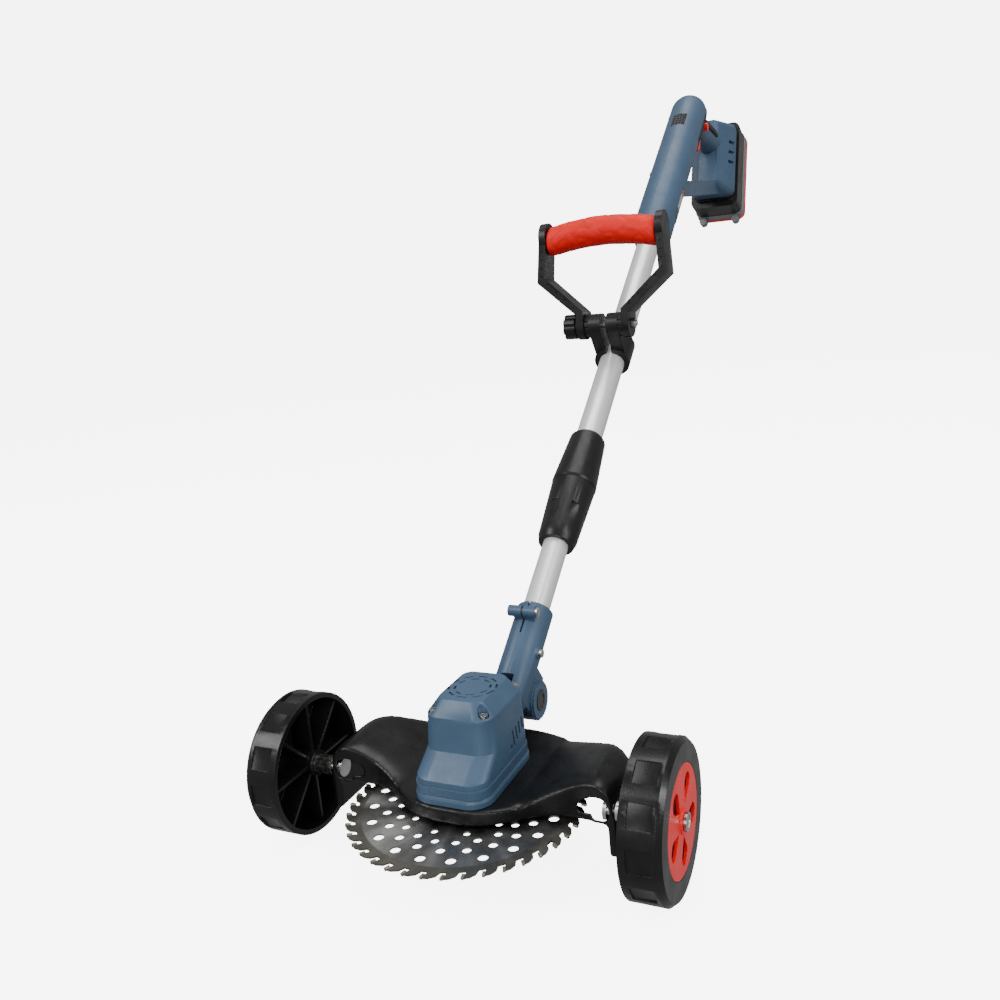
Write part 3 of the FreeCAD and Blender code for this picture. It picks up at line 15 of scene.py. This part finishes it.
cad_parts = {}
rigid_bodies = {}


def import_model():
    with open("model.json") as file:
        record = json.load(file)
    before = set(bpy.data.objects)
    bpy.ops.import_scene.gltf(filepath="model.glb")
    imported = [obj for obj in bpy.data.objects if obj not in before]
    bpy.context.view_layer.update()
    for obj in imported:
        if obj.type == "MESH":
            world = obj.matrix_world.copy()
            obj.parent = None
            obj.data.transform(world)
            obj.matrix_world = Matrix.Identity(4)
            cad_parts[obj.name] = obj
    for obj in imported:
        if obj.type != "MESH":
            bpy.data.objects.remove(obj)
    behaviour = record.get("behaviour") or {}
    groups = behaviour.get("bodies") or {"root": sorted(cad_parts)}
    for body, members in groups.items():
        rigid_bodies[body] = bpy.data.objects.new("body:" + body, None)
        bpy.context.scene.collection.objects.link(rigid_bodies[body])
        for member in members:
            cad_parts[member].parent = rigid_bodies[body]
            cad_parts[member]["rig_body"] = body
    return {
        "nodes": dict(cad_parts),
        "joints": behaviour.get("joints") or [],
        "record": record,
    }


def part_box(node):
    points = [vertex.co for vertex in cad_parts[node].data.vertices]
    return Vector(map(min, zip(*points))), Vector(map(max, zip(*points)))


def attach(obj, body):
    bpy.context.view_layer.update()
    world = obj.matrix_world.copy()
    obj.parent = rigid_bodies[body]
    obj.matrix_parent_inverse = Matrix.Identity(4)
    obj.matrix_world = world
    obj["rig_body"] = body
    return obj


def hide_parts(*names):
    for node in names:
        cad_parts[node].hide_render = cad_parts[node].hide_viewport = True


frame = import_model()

nodes = frame["nodes"]
joints = {joint["name"]: joint for joint in frame["joints"]}
slots = {part["node"]: part["material_slot"] for part in frame["record"]["subparts"]}
body_of = {name: part["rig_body"] for name, part in nodes.items()}
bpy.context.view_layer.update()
millimetre = 0.001

# %% [markdown]
# The pole, the blade and the front grip each have an axis of their own, and several patterns and shapes
# follow one of them. Reading them from the joints keeps every finish on its part if the design changes.

# %% Axes of the machine
pole_axis = -Vector(joints["pole_slide"]["axis"]).normalized()
pole_turn = math.atan2(pole_axis.y, pole_axis.z)
blade_centre = Vector(joints["blade_spin"]["pos_m"])
grip_bolt = Vector(joints["handle_tilt"]["pos_m"])
print("pole leans", round(math.degrees(pole_turn), 1), "degrees from upright")

# %% [markdown]
# A camera is placed by a matrix whose columns are its right, up and backward directions. Working these
# out from three angles (around, down and roll) is easier to read than a list of numbers.

# %% Camera
camera_place = Vector((0.3417, -0.5933, 0.4488))
camera_round = math.radians(25.93)
camera_down = math.radians(13.0)
camera_roll = math.radians(-5.4)
camera_turn = (Matrix.Rotation(camera_round, 3, "Z")
               @ Matrix.Rotation(math.radians(90) - camera_down, 3, "X")
               @ Matrix.Rotation(camera_roll, 3, "Z"))
camera_data = bpy.data.cameras.new("camera")
camera_data.lens = 33.94
camera_data.sensor_width = 36
camera_data.clip_start = 0.01
camera = bpy.data.objects.new("camera", camera_data)
camera.matrix_world = Matrix.Translation(camera_place) @ camera_turn.to_4x4()
bpy.context.scene.collection.objects.link(camera)
bpy.context.scene.camera = camera
print("camera", [round(x, 3) for x in camera.location])

# %% [markdown]
# The room is one white bowl: a floor that curves up into a wall all round, so that no horizon line shows
# behind the machine from any side. Its outline is a few points in the XZ plane, and one spin about the
# upright axis makes the bowl.

# %% Floor and backdrop
bowl_floor = 5.0
bowl_curve = 2.0
bowl_height = 7.0


def make_sweep():
    shape = bmesh.new()
    outline = [shape.verts.new((0, 0, 0))]
    steps = 24
    for step in range(steps + 1):
        angle = math.radians(90) * step / steps
        outline.append(shape.verts.new((bowl_floor + bowl_curve * math.sin(angle), 0,
                                        bowl_curve * (1 - math.cos(angle)))))
    outline.append(shape.verts.new((bowl_floor + bowl_curve, 0, bowl_height)))
    edges = [shape.edges.new(pair) for pair in zip(outline, outline[1:])]
    bmesh.ops.spin(shape, geom=outline + edges, cent=(0, 0, 0), axis=(0, 0, 1), angle=math.radians(360),
                   steps=96, use_merge=True)
    bmesh.ops.remove_doubles(shape, verts=shape.verts, dist=0.1 * millimetre)
    mesh = bpy.data.meshes.new("sweep")
    shape.to_mesh(mesh)
    shape.free()
    mesh.shade_smooth()
    made = bpy.data.objects.new("sweep", mesh)
    bpy.context.scene.collection.objects.link(made)
    return made


sweep = make_sweep()
print("sweep", len(sweep.data.polygons), "faces")

# %% [markdown]
# Product light is large and soft. A broad lamp on the left models the round shapes, a strip on the
# right draws bright edges on the black mouldings, a weaker one in front opens the motor's shaded face,
# and the white world fills what is left.

# %% Light


def add_lamp(name, place, aim, size, power):
    lamp = bpy.data.lights.new(name, "AREA")
    lamp.shape = "RECTANGLE"
    lamp.size = size[0]
    lamp.size_y = size[1]
    lamp.energy = power
    made = bpy.data.objects.new(name, lamp)
    made.location = place
    made.rotation_euler = (Vector(aim) - Vector(place)).to_track_quat("-Z", "Y").to_euler()
    bpy.context.scene.collection.objects.link(made)
    return made


middle = (0, 0.4, 0.25)
add_lamp("key_lamp", (-1.6, -1.5, 2.2), middle, (1.4, 1.4), 66)
add_lamp("edge_lamp", (2.2, -0.2, 1.4), middle, (0.5, 1.8), 40)
add_lamp("front_lamp", (0.5, -2.2, 0.9), middle, (1.2, 1.2), 30)
add_lamp("top_lamp", (0.2, 0.8, 3.0), middle, (2.0, 2.0), 56)
world = bpy.data.worlds.new("studio")
world.use_nodes = True
world.node_tree.nodes["Background"].inputs["Color"].default_value = (1, 1, 1, 1)
world.node_tree.nodes["Background"].inputs["Strength"].default_value = 0.38
bpy.context.scene.world = world

# %% [markdown]
# Every finish starts from the Principled shader. A few helpers wire up the rest: a noise that reads
# the object's own coordinates, a colour or a roughness that drifts with it, and a bump for the grain.
# The Bevel node rounds the normals at sharp corners, as a mould or a file does on a real part.

# %% Finish helpers


def new_finish(name, colour, roughness, metallic=0.0, gloss=0.5):
    made = bpy.data.materials.new(name)
    made.use_nodes = True
    shader = made.node_tree.nodes["Principled BSDF"]
    shader.inputs["Base Color"].default_value = (*colour, 1)
    shader.inputs["Roughness"].default_value = roughness
    shader.inputs["Metallic"].default_value = metallic
    shader.inputs["Specular IOR Level"].default_value = gloss
    return made, made.node_tree, shader


def place_pattern(tree, centre=(0, 0, 0), turn=(0, 0, 0), stretch=(1, 1, 1)):
    """Object coordinates with their origin moved to centre, then turned and stretched."""
    where = tree.nodes.new("ShaderNodeTexCoord")
    shift = tree.nodes.new("ShaderNodeVectorMath")
    shift.operation = "SUBTRACT"
    shift.inputs[1].default_value = centre
    tree.links.new(where.outputs["Object"], shift.inputs[0])
    spin = tree.nodes.new("ShaderNodeMapping")
    spin.inputs["Rotation"].default_value = turn
    tree.links.new(shift.outputs[0], spin.inputs["Vector"])
    scale = tree.nodes.new("ShaderNodeMapping")
    scale.inputs["Scale"].default_value = stretch
    tree.links.new(spin.outputs[0], scale.inputs["Vector"])
    return scale.outputs[0]


def add_noise(tree, where, scale, detail=3.0, roughness=0.55):
    texture = tree.nodes.new("ShaderNodeTexNoise")
    texture.inputs["Scale"].default_value = scale
    texture.inputs["Detail"].default_value = detail
    texture.inputs["Roughness"].default_value = roughness
    tree.links.new(where, texture.inputs["Vector"])
    return texture.outputs["Fac"]


def remap(tree, source, low, high, start=0.3, end=0.7):
    node = tree.nodes.new("ShaderNodeMapRange")
    node.inputs["From Min"].default_value = start
    node.inputs["From Max"].default_value = end
    node.inputs["To Min"].default_value = low
    node.inputs["To Max"].default_value = high
    tree.links.new(source, node.inputs["Value"])
    return node.outputs["Result"]


def blend_colours(tree, share, first, second):
    node = tree.nodes.new("ShaderNodeMix")
    node.data_type = "RGBA"
    colours = [socket for socket in node.inputs if socket.type == "RGBA"]
    for socket, colour in zip(colours, (first, second)):
        if isinstance(colour, tuple):
            socket.default_value = (*colour, 1)
        else:
            tree.links.new(colour, socket)
    tree.links.new(share, node.inputs[0])
    return [socket for socket in node.outputs if socket.type == "RGBA"][0]


def combine(tree, kind, first, second):
    node = tree.nodes.new("ShaderNodeMath")
    node.operation = kind
    for socket, item in zip(node.inputs, (first, second)):
        if isinstance(item, (int, float)):
            socket.default_value = item
        else:
            tree.links.new(item, socket)
    return node.outputs[0]


def add_relief(tree, shader, height, depth, corner=0.0):
    """Bump of that depth in metres, over corners rounded by the Bevel node."""
    relief = tree.nodes.new("ShaderNodeBump")
    relief.inputs["Strength"].default_value = 1.0
    relief.inputs["Distance"].default_value = depth
    tree.links.new(height, relief.inputs["Height"])
    if corner > 0:
        rounding = tree.nodes.new("ShaderNodeBevel")
        rounding.samples = 4
        rounding.inputs["Radius"].default_value = corner
        tree.links.new(rounding.outputs[0], relief.inputs["Normal"])
    tree.links.new(relief.outputs[0], shader.inputs["Normal"])


def moulded(name, colour, roughness, grain=900, depth=0.00004, worn=1.25, corner=0.0005, gloss=0.5):
    """Injection-moulded plastic: fine sparked grain, faint flow clouds, handled patches."""
    made, tree, shader = new_finish(name, colour, roughness, gloss=gloss)
    where = place_pattern(tree)
    cloud = add_noise(tree, where, 26, 4)
    pale = tuple(min(1.0, worn * part + 0.004) for part in colour)
    tree.links.new(blend_colours(tree, remap(tree, cloud, 0, 1), colour, pale),
                   shader.inputs["Base Color"])
    handled = add_noise(tree, where, 70, 5)
    tree.links.new(remap(tree, handled, roughness - 0.05, roughness + 0.08), shader.inputs["Roughness"])
    add_relief(tree, shader, add_noise(tree, where, grain, 2), depth, corner)
    return made


def metal(name, colour, roughness, stretch=(1, 1, 1), turn=(0, 0, 0), scale=400, depth=0.000015,
          corner=0.0003):
    """Turned, drawn or ground metal: the noise is stretched along the tool marks."""
    made, tree, shader = new_finish(name, colour, roughness, 1.0)
    where = place_pattern(tree, turn=turn, stretch=stretch)
    marks = add_noise(tree, where, scale, 4)
    dull = tuple(part * 0.82 for part in colour)
    tree.links.new(blend_colours(tree, remap(tree, marks, 0, 1), colour, dull),
                   shader.inputs["Base Color"])
    tree.links.new(remap(tree, marks, roughness - 0.06, roughness + 0.08), shader.inputs["Roughness"])
    add_relief(tree, shader, marks, depth, corner)
    return made


# %% [markdown]
# The mouldings are blue-grey ABS on the housings, blacks from a glossy tyre to a dull rubber skin, and a
# glossier red on the caps and buttons. They differ mostly in how sharp their highlights are.

# %% Plastic finishes
blue = (0.036, 0.070, 0.118)
satin_black = (0.0035, 0.0035, 0.004)
deep_black = (0.003, 0.003, 0.0035)
rubber_black = (0.005, 0.005, 0.0055)
cap_red = (0.72, 0.003, 0.004)
finishes = {
    "blue_plastic": moulded("blue_moulding", blue, 0.40, 700, 0.00005, 1.15, 0.0006, 0.35),
    "blue_cover": moulded("blue_cap", blue, 0.38, 700, 0.00005, 1.15, 0.0006, 0.35),
    "black_plastic": moulded("black_nylon", satin_black, 0.34, 900, 0.00003, 1.5, gloss=0.30),
    "black_guard": moulded("guard_black", deep_black, 0.30, 500, 0.00004, 1.6, 0.0012, 0.28),
    "soft_black": moulded("soft_black", rubber_black, 0.60, 1400, 0.00008, 1.4, gloss=0.25),
    "wheel_black": moulded("tyre_black", deep_black, 0.26, 650, 0.00003, 1.6, 0.0008, 0.30),
    "red_plastic": moulded("red_moulding", cap_red, 0.28, 1000, 0.00002, 1.10, gloss=0.35),
    "grey_plastic": moulded("grey_moulding", (0.13, 0.14, 0.15), 0.45, 900, 0.00004, 1.1),
    "bronze_button": moulded("dark_button", (0.020, 0.020, 0.022), 0.34, 900, 0.00003, 1.2),
    "cell_wrap": moulded("cell_wrap", (0.03, 0.16, 0.30), 0.30, 500, 0.00002, 1.1),
    "board_green": moulded("board_mask", (0.01, 0.09, 0.03), 0.35, 1200, 0.00004, 1.2),
}

# %% [markdown]
# The metals are drawn, turned or plated. The tube's satin runs along the pole, so its pattern is turned
# to the pole's lean and stretched along it. Its anodised skin is milky, so it is only half metallic.

# %% Metal finishes
along_pole = (pole_turn, 0, 0)
finishes["tube_white_aluminium"] = metal("satin_tube", (0.78, 0.79, 0.79), 0.34, (1, 1, 0.03), along_pole, 900,
                                         0.000008, 0.0)
tube_shader = finishes["tube_white_aluminium"].node_tree.nodes["Principled BSDF"]
tube_shader.inputs["Metallic"].default_value = 0.5
finishes["bare_aluminium"] = metal("bare_aluminium", (0.72, 0.72, 0.73), 0.3)
finishes["plated_steel"] = metal("zinc_plate", (0.62, 0.62, 0.60), 0.24, scale=250)
finishes["gear_steel"] = metal("machined_steel", (0.46, 0.46, 0.47), 0.32, (1, 1, 6), scale=300)
finishes["carbide"] = metal("carbide_tip", (0.52, 0.48, 0.40), 0.30, scale=600)
finishes["copper_core"] = metal("winding_core", (0.30, 0.17, 0.10), 0.40, scale=500)

# %% [markdown]
# The blade is a stamped disc whose faces are ground in circles. The distance from its own axis drives
# the ring marks and the dull olive band that the tooth grinder leaves around the rim, and the angle round
# that axis drives bright rays painted into its colour: a painted reflection of the kind a ground face shows in
# soft light.

# %% Blade finish
rim_start = 83.0 * millimetre
rim_blend = 1.2 * millimetre
hub_bright = 34 * millimetre
hub_end = 46 * millimetre
olive_rim = (0.20, 0.195, 0.165)


def blade_finish():
    made, tree, shader = new_finish("ground_blade", (0.2, 0.2, 0.2), 0.3, 1.0)
    where = place_pattern(tree, centre=blade_centre)
    split = tree.nodes.new("ShaderNodeSeparateXYZ")
    tree.links.new(where, split.inputs[0])
    squared = combine(tree, "ADD", combine(tree, "MULTIPLY", split.outputs[0], split.outputs[0]),
                      combine(tree, "MULTIPLY", split.outputs[1], split.outputs[1]))
    radius = combine(tree, "SQRT", squared, 0.0)
    rings = tree.nodes.new("ShaderNodeTexNoise")
    rings.noise_dimensions = "1D"
    rings.inputs["Scale"].default_value = 2600
    rings.inputs["Detail"].default_value = 2
    tree.links.new(radius, rings.inputs["W"])
    turning = combine(tree, "ARCTAN2", split.outputs[1], split.outputs[0])
    rays = tree.nodes.new("ShaderNodeTexNoise")
    rays.noise_dimensions = "1D"
    rays.inputs["Scale"].default_value = 1.6
    rays.inputs["Detail"].default_value = 3
    tree.links.new(turning, rays.inputs["W"])
    rim = remap(tree, radius, 0.0, 1.0, rim_start, rim_start + rim_blend)
    hub = remap(tree, radius, 1.0, 0.0, hub_bright, hub_end)
    # Painted reflection: the angle noise paints bright rays into the base colour, and they share the pale
    # steel mix with the lighter hub.
    painted_ray_sheen = combine(tree, "MULTIPLY", remap(tree, rays.outputs["Fac"], 0, 1, 0.42, 0.62), 0.75)
    bright = combine(tree, "MAXIMUM", combine(tree, "MULTIPLY", hub, 0.55), painted_ray_sheen)
    fine = remap(tree, rings.outputs["Fac"], 0, 1)
    dark_steel = blend_colours(tree, fine, (0.13, 0.13, 0.13), (0.20, 0.20, 0.195))
    pale_steel_and_painted_glint = blend_colours(tree, fine, (0.44, 0.44, 0.43), (0.58, 0.58, 0.57))
    disc = blend_colours(tree, bright, dark_steel, pale_steel_and_painted_glint)
    tree.links.new(blend_colours(tree, rim, disc, olive_rim), shader.inputs["Base Color"])
    stains = add_noise(tree, where, 60, 5)
    tree.links.new(remap(tree, stains, 0.26, 0.44), shader.inputs["Roughness"])
    add_relief(tree, shader, rings.outputs["Fac"], 0.00001)
    shader.inputs["Anisotropic"].default_value = 0.4
    return made


finishes["blade_steel"] = blade_finish()
print("blade turns about", [round(x, 3) for x in blade_centre])

# %% [markdown]
# The side label is a printed film: a black field, a pale plate in the middle and a red stripe down one
# edge. All three are bands along the pole, so the distance along the pole axis picks the ink.

# %% Label finish
label_low, label_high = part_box("side_label")
label_middle = (label_low + label_high) / 2
label_half = 30 * millimetre


def band(tree, along, low, high):
    """One between low and high along the pole, and zero outside."""
    return combine(tree, "MULTIPLY", combine(tree, "GREATER_THAN", along, low),
                   combine(tree, "LESS_THAN", along, high))


def label_finish():
    made, tree, shader = new_finish("label_film", (0.02, 0.02, 0.02), 0.24)
    where = place_pattern(tree, centre=label_middle)
    reach = tree.nodes.new("ShaderNodeVectorMath")
    reach.operation = "DOT_PRODUCT"
    reach.inputs[1].default_value = pole_axis
    tree.links.new(where, reach.inputs[0])
    along = reach.outputs["Value"]
    plate = band(tree, along, -0.45 * label_half, 0.55 * label_half)
    stripe = band(tree, along, 0.66 * label_half, 0.80 * label_half)
    ink = blend_colours(tree, plate, (0.006, 0.006, 0.007), (0.30, 0.29, 0.29))
    tree.links.new(blend_colours(tree, stripe, ink, (0.50, 0.010, 0.010)), shader.inputs["Base Color"])
    add_relief(tree, shader, add_noise(tree, where, 300), 0.00001)
    return made


finishes["label_grey"] = label_finish()
print("label", round(1000 * 2 * label_half), "mm long")

# %% [markdown]
# Closed-cell foam has a soft skin: pores of a few tenths of a millimetre and a dull shine. Its relief
# gets two noises, one for the pores and one for the creases.

# %% Foam finish


def foam_finish():
    red = (0.60, 0.003, 0.001)
    made, tree, shader = new_finish("red_foam", red, 0.5, gloss=0.22)
    where = place_pattern(tree)
    cloud = add_noise(tree, where, 45, 4)
    tree.links.new(blend_colours(tree, remap(tree, cloud, 0, 1), red, (0.66, 0.005, 0.002)),
                   shader.inputs["Base Color"])
    pores = add_noise(tree, where, 1500, 2)
    creases = add_noise(tree, where, 160, 3)
    height = combine(tree, "ADD", combine(tree, "MULTIPLY", pores, 0.35), creases)
    tree.links.new(remap(tree, creases, 0.46, 0.64), shader.inputs["Roughness"])
    add_relief(tree, shader, height, 0.00025)
    return made


finishes["red_foam"] = foam_finish()
print("finishes so far:", len(finishes))

# %% [markdown]
# The sweep is matt white paint, nearly even, and glows enough to read as pure white. It is hidden from
# diffuse and glossy rays, or its glow would wash the colours of the machine out, and it casts no shadow,
# so that the light of the world reaches the machine through it.

# %% Sweep finish
sweep_paint = moulded("sweep_paint", (0.90, 0.90, 0.90), 0.9, 40, 0.00002, 1.02, 0.0, 0.2)
sweep_shader = sweep_paint.node_tree.nodes["Principled BSDF"]
sweep_shader.inputs["Emission Color"].default_value = (1, 1, 1, 1)
sweep_shader.inputs["Emission Strength"].default_value = 6.0
sweep.visible_diffuse = False
sweep.visible_glossy = False
sweep.visible_shadow = False
sweep.data.materials.append(sweep_paint)
print("finishes:", len(finishes) + 1)

# %% [markdown]
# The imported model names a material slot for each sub-part. Every slot has one finish, so a loop over the
# sub-parts is enough; a piece that is made below takes its finish from the sub-part that it stands for.

# %% Give each sub-part its finish
for name, part in nodes.items():
    part.data.materials.clear()
    part.data.materials.append(finishes[slots[name]])
print("slots in use:", len(set(slots.values())))

# %% [markdown]
# A moulded shell never has a knife-sharp corner. A merged copy of the drawn shape, with its flat facets
# dissolved, takes a Bevel modifier well, and each copy stands for the drawn part it was made from.

# %% Rounded mouldings


def rounded_copy(node, width, segments=2, limit=32):
    mesh = nodes[node].data.copy()
    shape = bmesh.new()
    shape.from_mesh(mesh)
    bmesh.ops.remove_doubles(shape, verts=shape.verts, dist=0.004 * millimetre)
    bmesh.ops.dissolve_limit(shape, angle_limit=math.radians(0.6), verts=shape.verts, edges=shape.edges)
    shape.to_mesh(mesh)
    shape.free()
    mesh.shade_smooth()
    mesh.set_sharp_from_angle(angle=math.radians(limit))
    made = bpy.data.objects.new(node + "_moulding", mesh)
    bpy.context.scene.collection.objects.link(made)
    edge = made.modifiers.new("rounded_edges", "BEVEL")
    edge.width = width
    edge.segments = segments
    edge.limit_method = "ANGLE"
    edge.angle_limit = math.radians(limit)
    edge.harden_normals = True
    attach(made, body_of[node])
    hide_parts(node)
    print(made.name, len(mesh.polygons), "faces")
    return made


edge_widths = {
    "motor_housing": 0.8, "motor_cover": 0.8, "gearbox_plate": 0.7, "pivot_neck": 0.6, "lock_collar": 0.6,
    "handle_clamp": 0.8, "handle_arm_left": 1.2, "handle_arm_right": 1.2, "rear_housing_left": 0.8,
    "rear_housing_right": 0.8, "battery_base": 1.0, "battery_band": 0.6, "battery_case": 1.2,
    "trigger": 0.9, "hub_disc_left": 0.5, "hub_disc_right": 0.5, "handle_knob": 0.8,
    "wheel_left": 0.7, "wheel_right": 0.7}
for name, width in edge_widths.items():
    rounded_copy(name, width * millimetre)

# %% [markdown]
# The guard is one smooth saddle whose shoulders swell beside the wheels. The drawn loft meets in a crease
# there. A voxel remesh of a merged copy gives even small faces, and its upper part is then smoothed across
# the machine and in height, but never lengthwise, which keeps the front and back rims where they are.

# %% Guard with soft shoulders
guard_voxel = 1.8 * millimetre
shoulder_inner = 50 * millimetre
shoulder_low = 58 * millimetre
soften_rounds = 60


def voxel_mesh(node, size):
    """A merged copy of the node's mesh, rebuilt in even faces."""
    mesh = nodes[node].data.copy()
    shape = bmesh.new()
    shape.from_mesh(mesh)
    bmesh.ops.remove_doubles(shape, verts=shape.verts, dist=0.004 * millimetre)
    shape.to_mesh(mesh)
    shape.free()
    draft = bpy.data.objects.new("draft", mesh)
    bpy.context.scene.collection.objects.link(draft)
    rebuild = draft.modifiers.new("rebuild", "REMESH")
    rebuild.mode = "VOXEL"
    rebuild.voxel_size = size
    made = bpy.data.meshes.new_from_object(draft.evaluated_get(bpy.context.evaluated_depsgraph_get()))
    bpy.data.objects.remove(draft)
    return made


def soft_guard():
    mesh = voxel_mesh("blade_guard", guard_voxel)
    shape = bmesh.new()
    shape.from_mesh(mesh)
    upper = [vert for vert in shape.verts
             if abs(vert.co.x) > shoulder_inner and vert.co.z > shoulder_low]
    for _ in range(soften_rounds):
        bmesh.ops.smooth_vert(shape, verts=upper, factor=0.5, use_axis_x=True, use_axis_z=True)
    for _ in range(2):
        bmesh.ops.smooth_vert(shape, verts=shape.verts, factor=0.5, use_axis_x=True, use_axis_y=True,
                              use_axis_z=True)
    shape.to_mesh(mesh)
    shape.free()
    mesh.shade_smooth()
    mesh.materials.clear()
    mesh.materials.append(finishes[slots["blade_guard"]])
    made = bpy.data.objects.new("guard_shell", mesh)
    bpy.context.scene.collection.objects.link(made)
    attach(made, body_of["blade_guard"])
    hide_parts("blade_guard")
    print("guard", len(mesh.polygons), "faces")


soft_guard()

# %% [markdown]
# The foam sleeve is pushed over a plastic core, so it is a fat tube that follows the core's bow and
# creases where hands have squeezed it. It starts as a ring that is extruded in steps; each ring of
# points is then moved onto the bow, and a seeded noise presses the creases in.

# %% Foam sleeve
sleeve_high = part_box("foam_grip")[1]
sleeve_half = sleeve_high.x - 1.0 * millimetre
sleeve_radius = 15.9 * millimetre
sleeve_crown = 7 * millimetre
grip_lean = math.radians(-5.5)
sleeve_height = 102 * millimetre
swell = 0.5 * millimetre
fold_depth = 1.1 * millimetre
fold_start = 0.5


def on_bow(across, angle, radius):
    """A point of the sleeve: across along the grip, then around the bowed middle line."""
    share = across / sleeve_half
    lift = sleeve_height - sleeve_crown * share * share
    point = Vector((across, radius * math.cos(angle), lift + radius * math.sin(angle)))
    return grip_bolt + Matrix.Rotation(grip_lean, 3, "X") @ point


def make_sleeve():
    rings = 132
    around = 72
    shape = bmesh.new()
    start = bmesh.ops.create_circle(shape, cap_ends=False, radius=sleeve_radius, segments=around)["verts"]
    shape.verts.ensure_lookup_table()
    edges = list(shape.edges)
    columns = [list(start)]
    for _ in range(rings):
        moved = bmesh.ops.extrude_edge_only(shape, edges=edges)["geom"]
        edges = [item for item in moved if isinstance(item, bmesh.types.BMEdge)
                 and all(vert in moved for vert in item.verts)]
        fresh = [item for item in moved if isinstance(item, bmesh.types.BMVert)]
        columns.append(fresh)
        bmesh.ops.translate(shape, verts=fresh, vec=(0, 0, 1))
    for vert in shape.verts:
        step = round(vert.co.z)
        share = 2 * step / rings - 1
        across = share * sleeve_half
        angle = math.atan2(vert.co.y, vert.co.x)
        near_end = min(1.0, (1 - abs(share)) * 14)
        radius = sleeve_radius * (0.93 + 0.07 * math.sqrt(near_end))
        spot = Vector((across * 60, math.cos(angle) * 1.1, math.sin(angle) * 1.1))
        crease = noise.fractal(spot * 0.9 + Vector((3, 7, 1)), 0.8, 2.2, 4)
        ridge = 1 - abs(noise.noise(spot * 1.3 + Vector((9, 2, 4)))) * 2
        radius += swell * crease - fold_depth * max(0.0, ridge - fold_start)
        vert.co = on_bow(across, angle, radius)
    for end in (columns[0], columns[-1]):
        loop = [edge for edge in shape.edges if all(vert in end for vert in edge.verts)]
        bmesh.ops.holes_fill(shape, edges=loop, sides=0)
    bmesh.ops.recalc_face_normals(shape, faces=shape.faces)
    mesh = bpy.data.meshes.new("foam_sleeve")
    shape.to_mesh(mesh)
    shape.free()
    mesh.shade_smooth()
    mesh.set_sharp_from_angle(angle=math.radians(50))
    mesh.materials.append(finishes["red_foam"])
    made = bpy.data.objects.new("foam_sleeve", mesh)
    bpy.context.scene.collection.objects.link(made)
    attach(made, body_of["foam_grip"])
    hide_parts("foam_grip")
    print("foam sleeve", len(mesh.polygons), "faces")
    return made


make_sleeve()
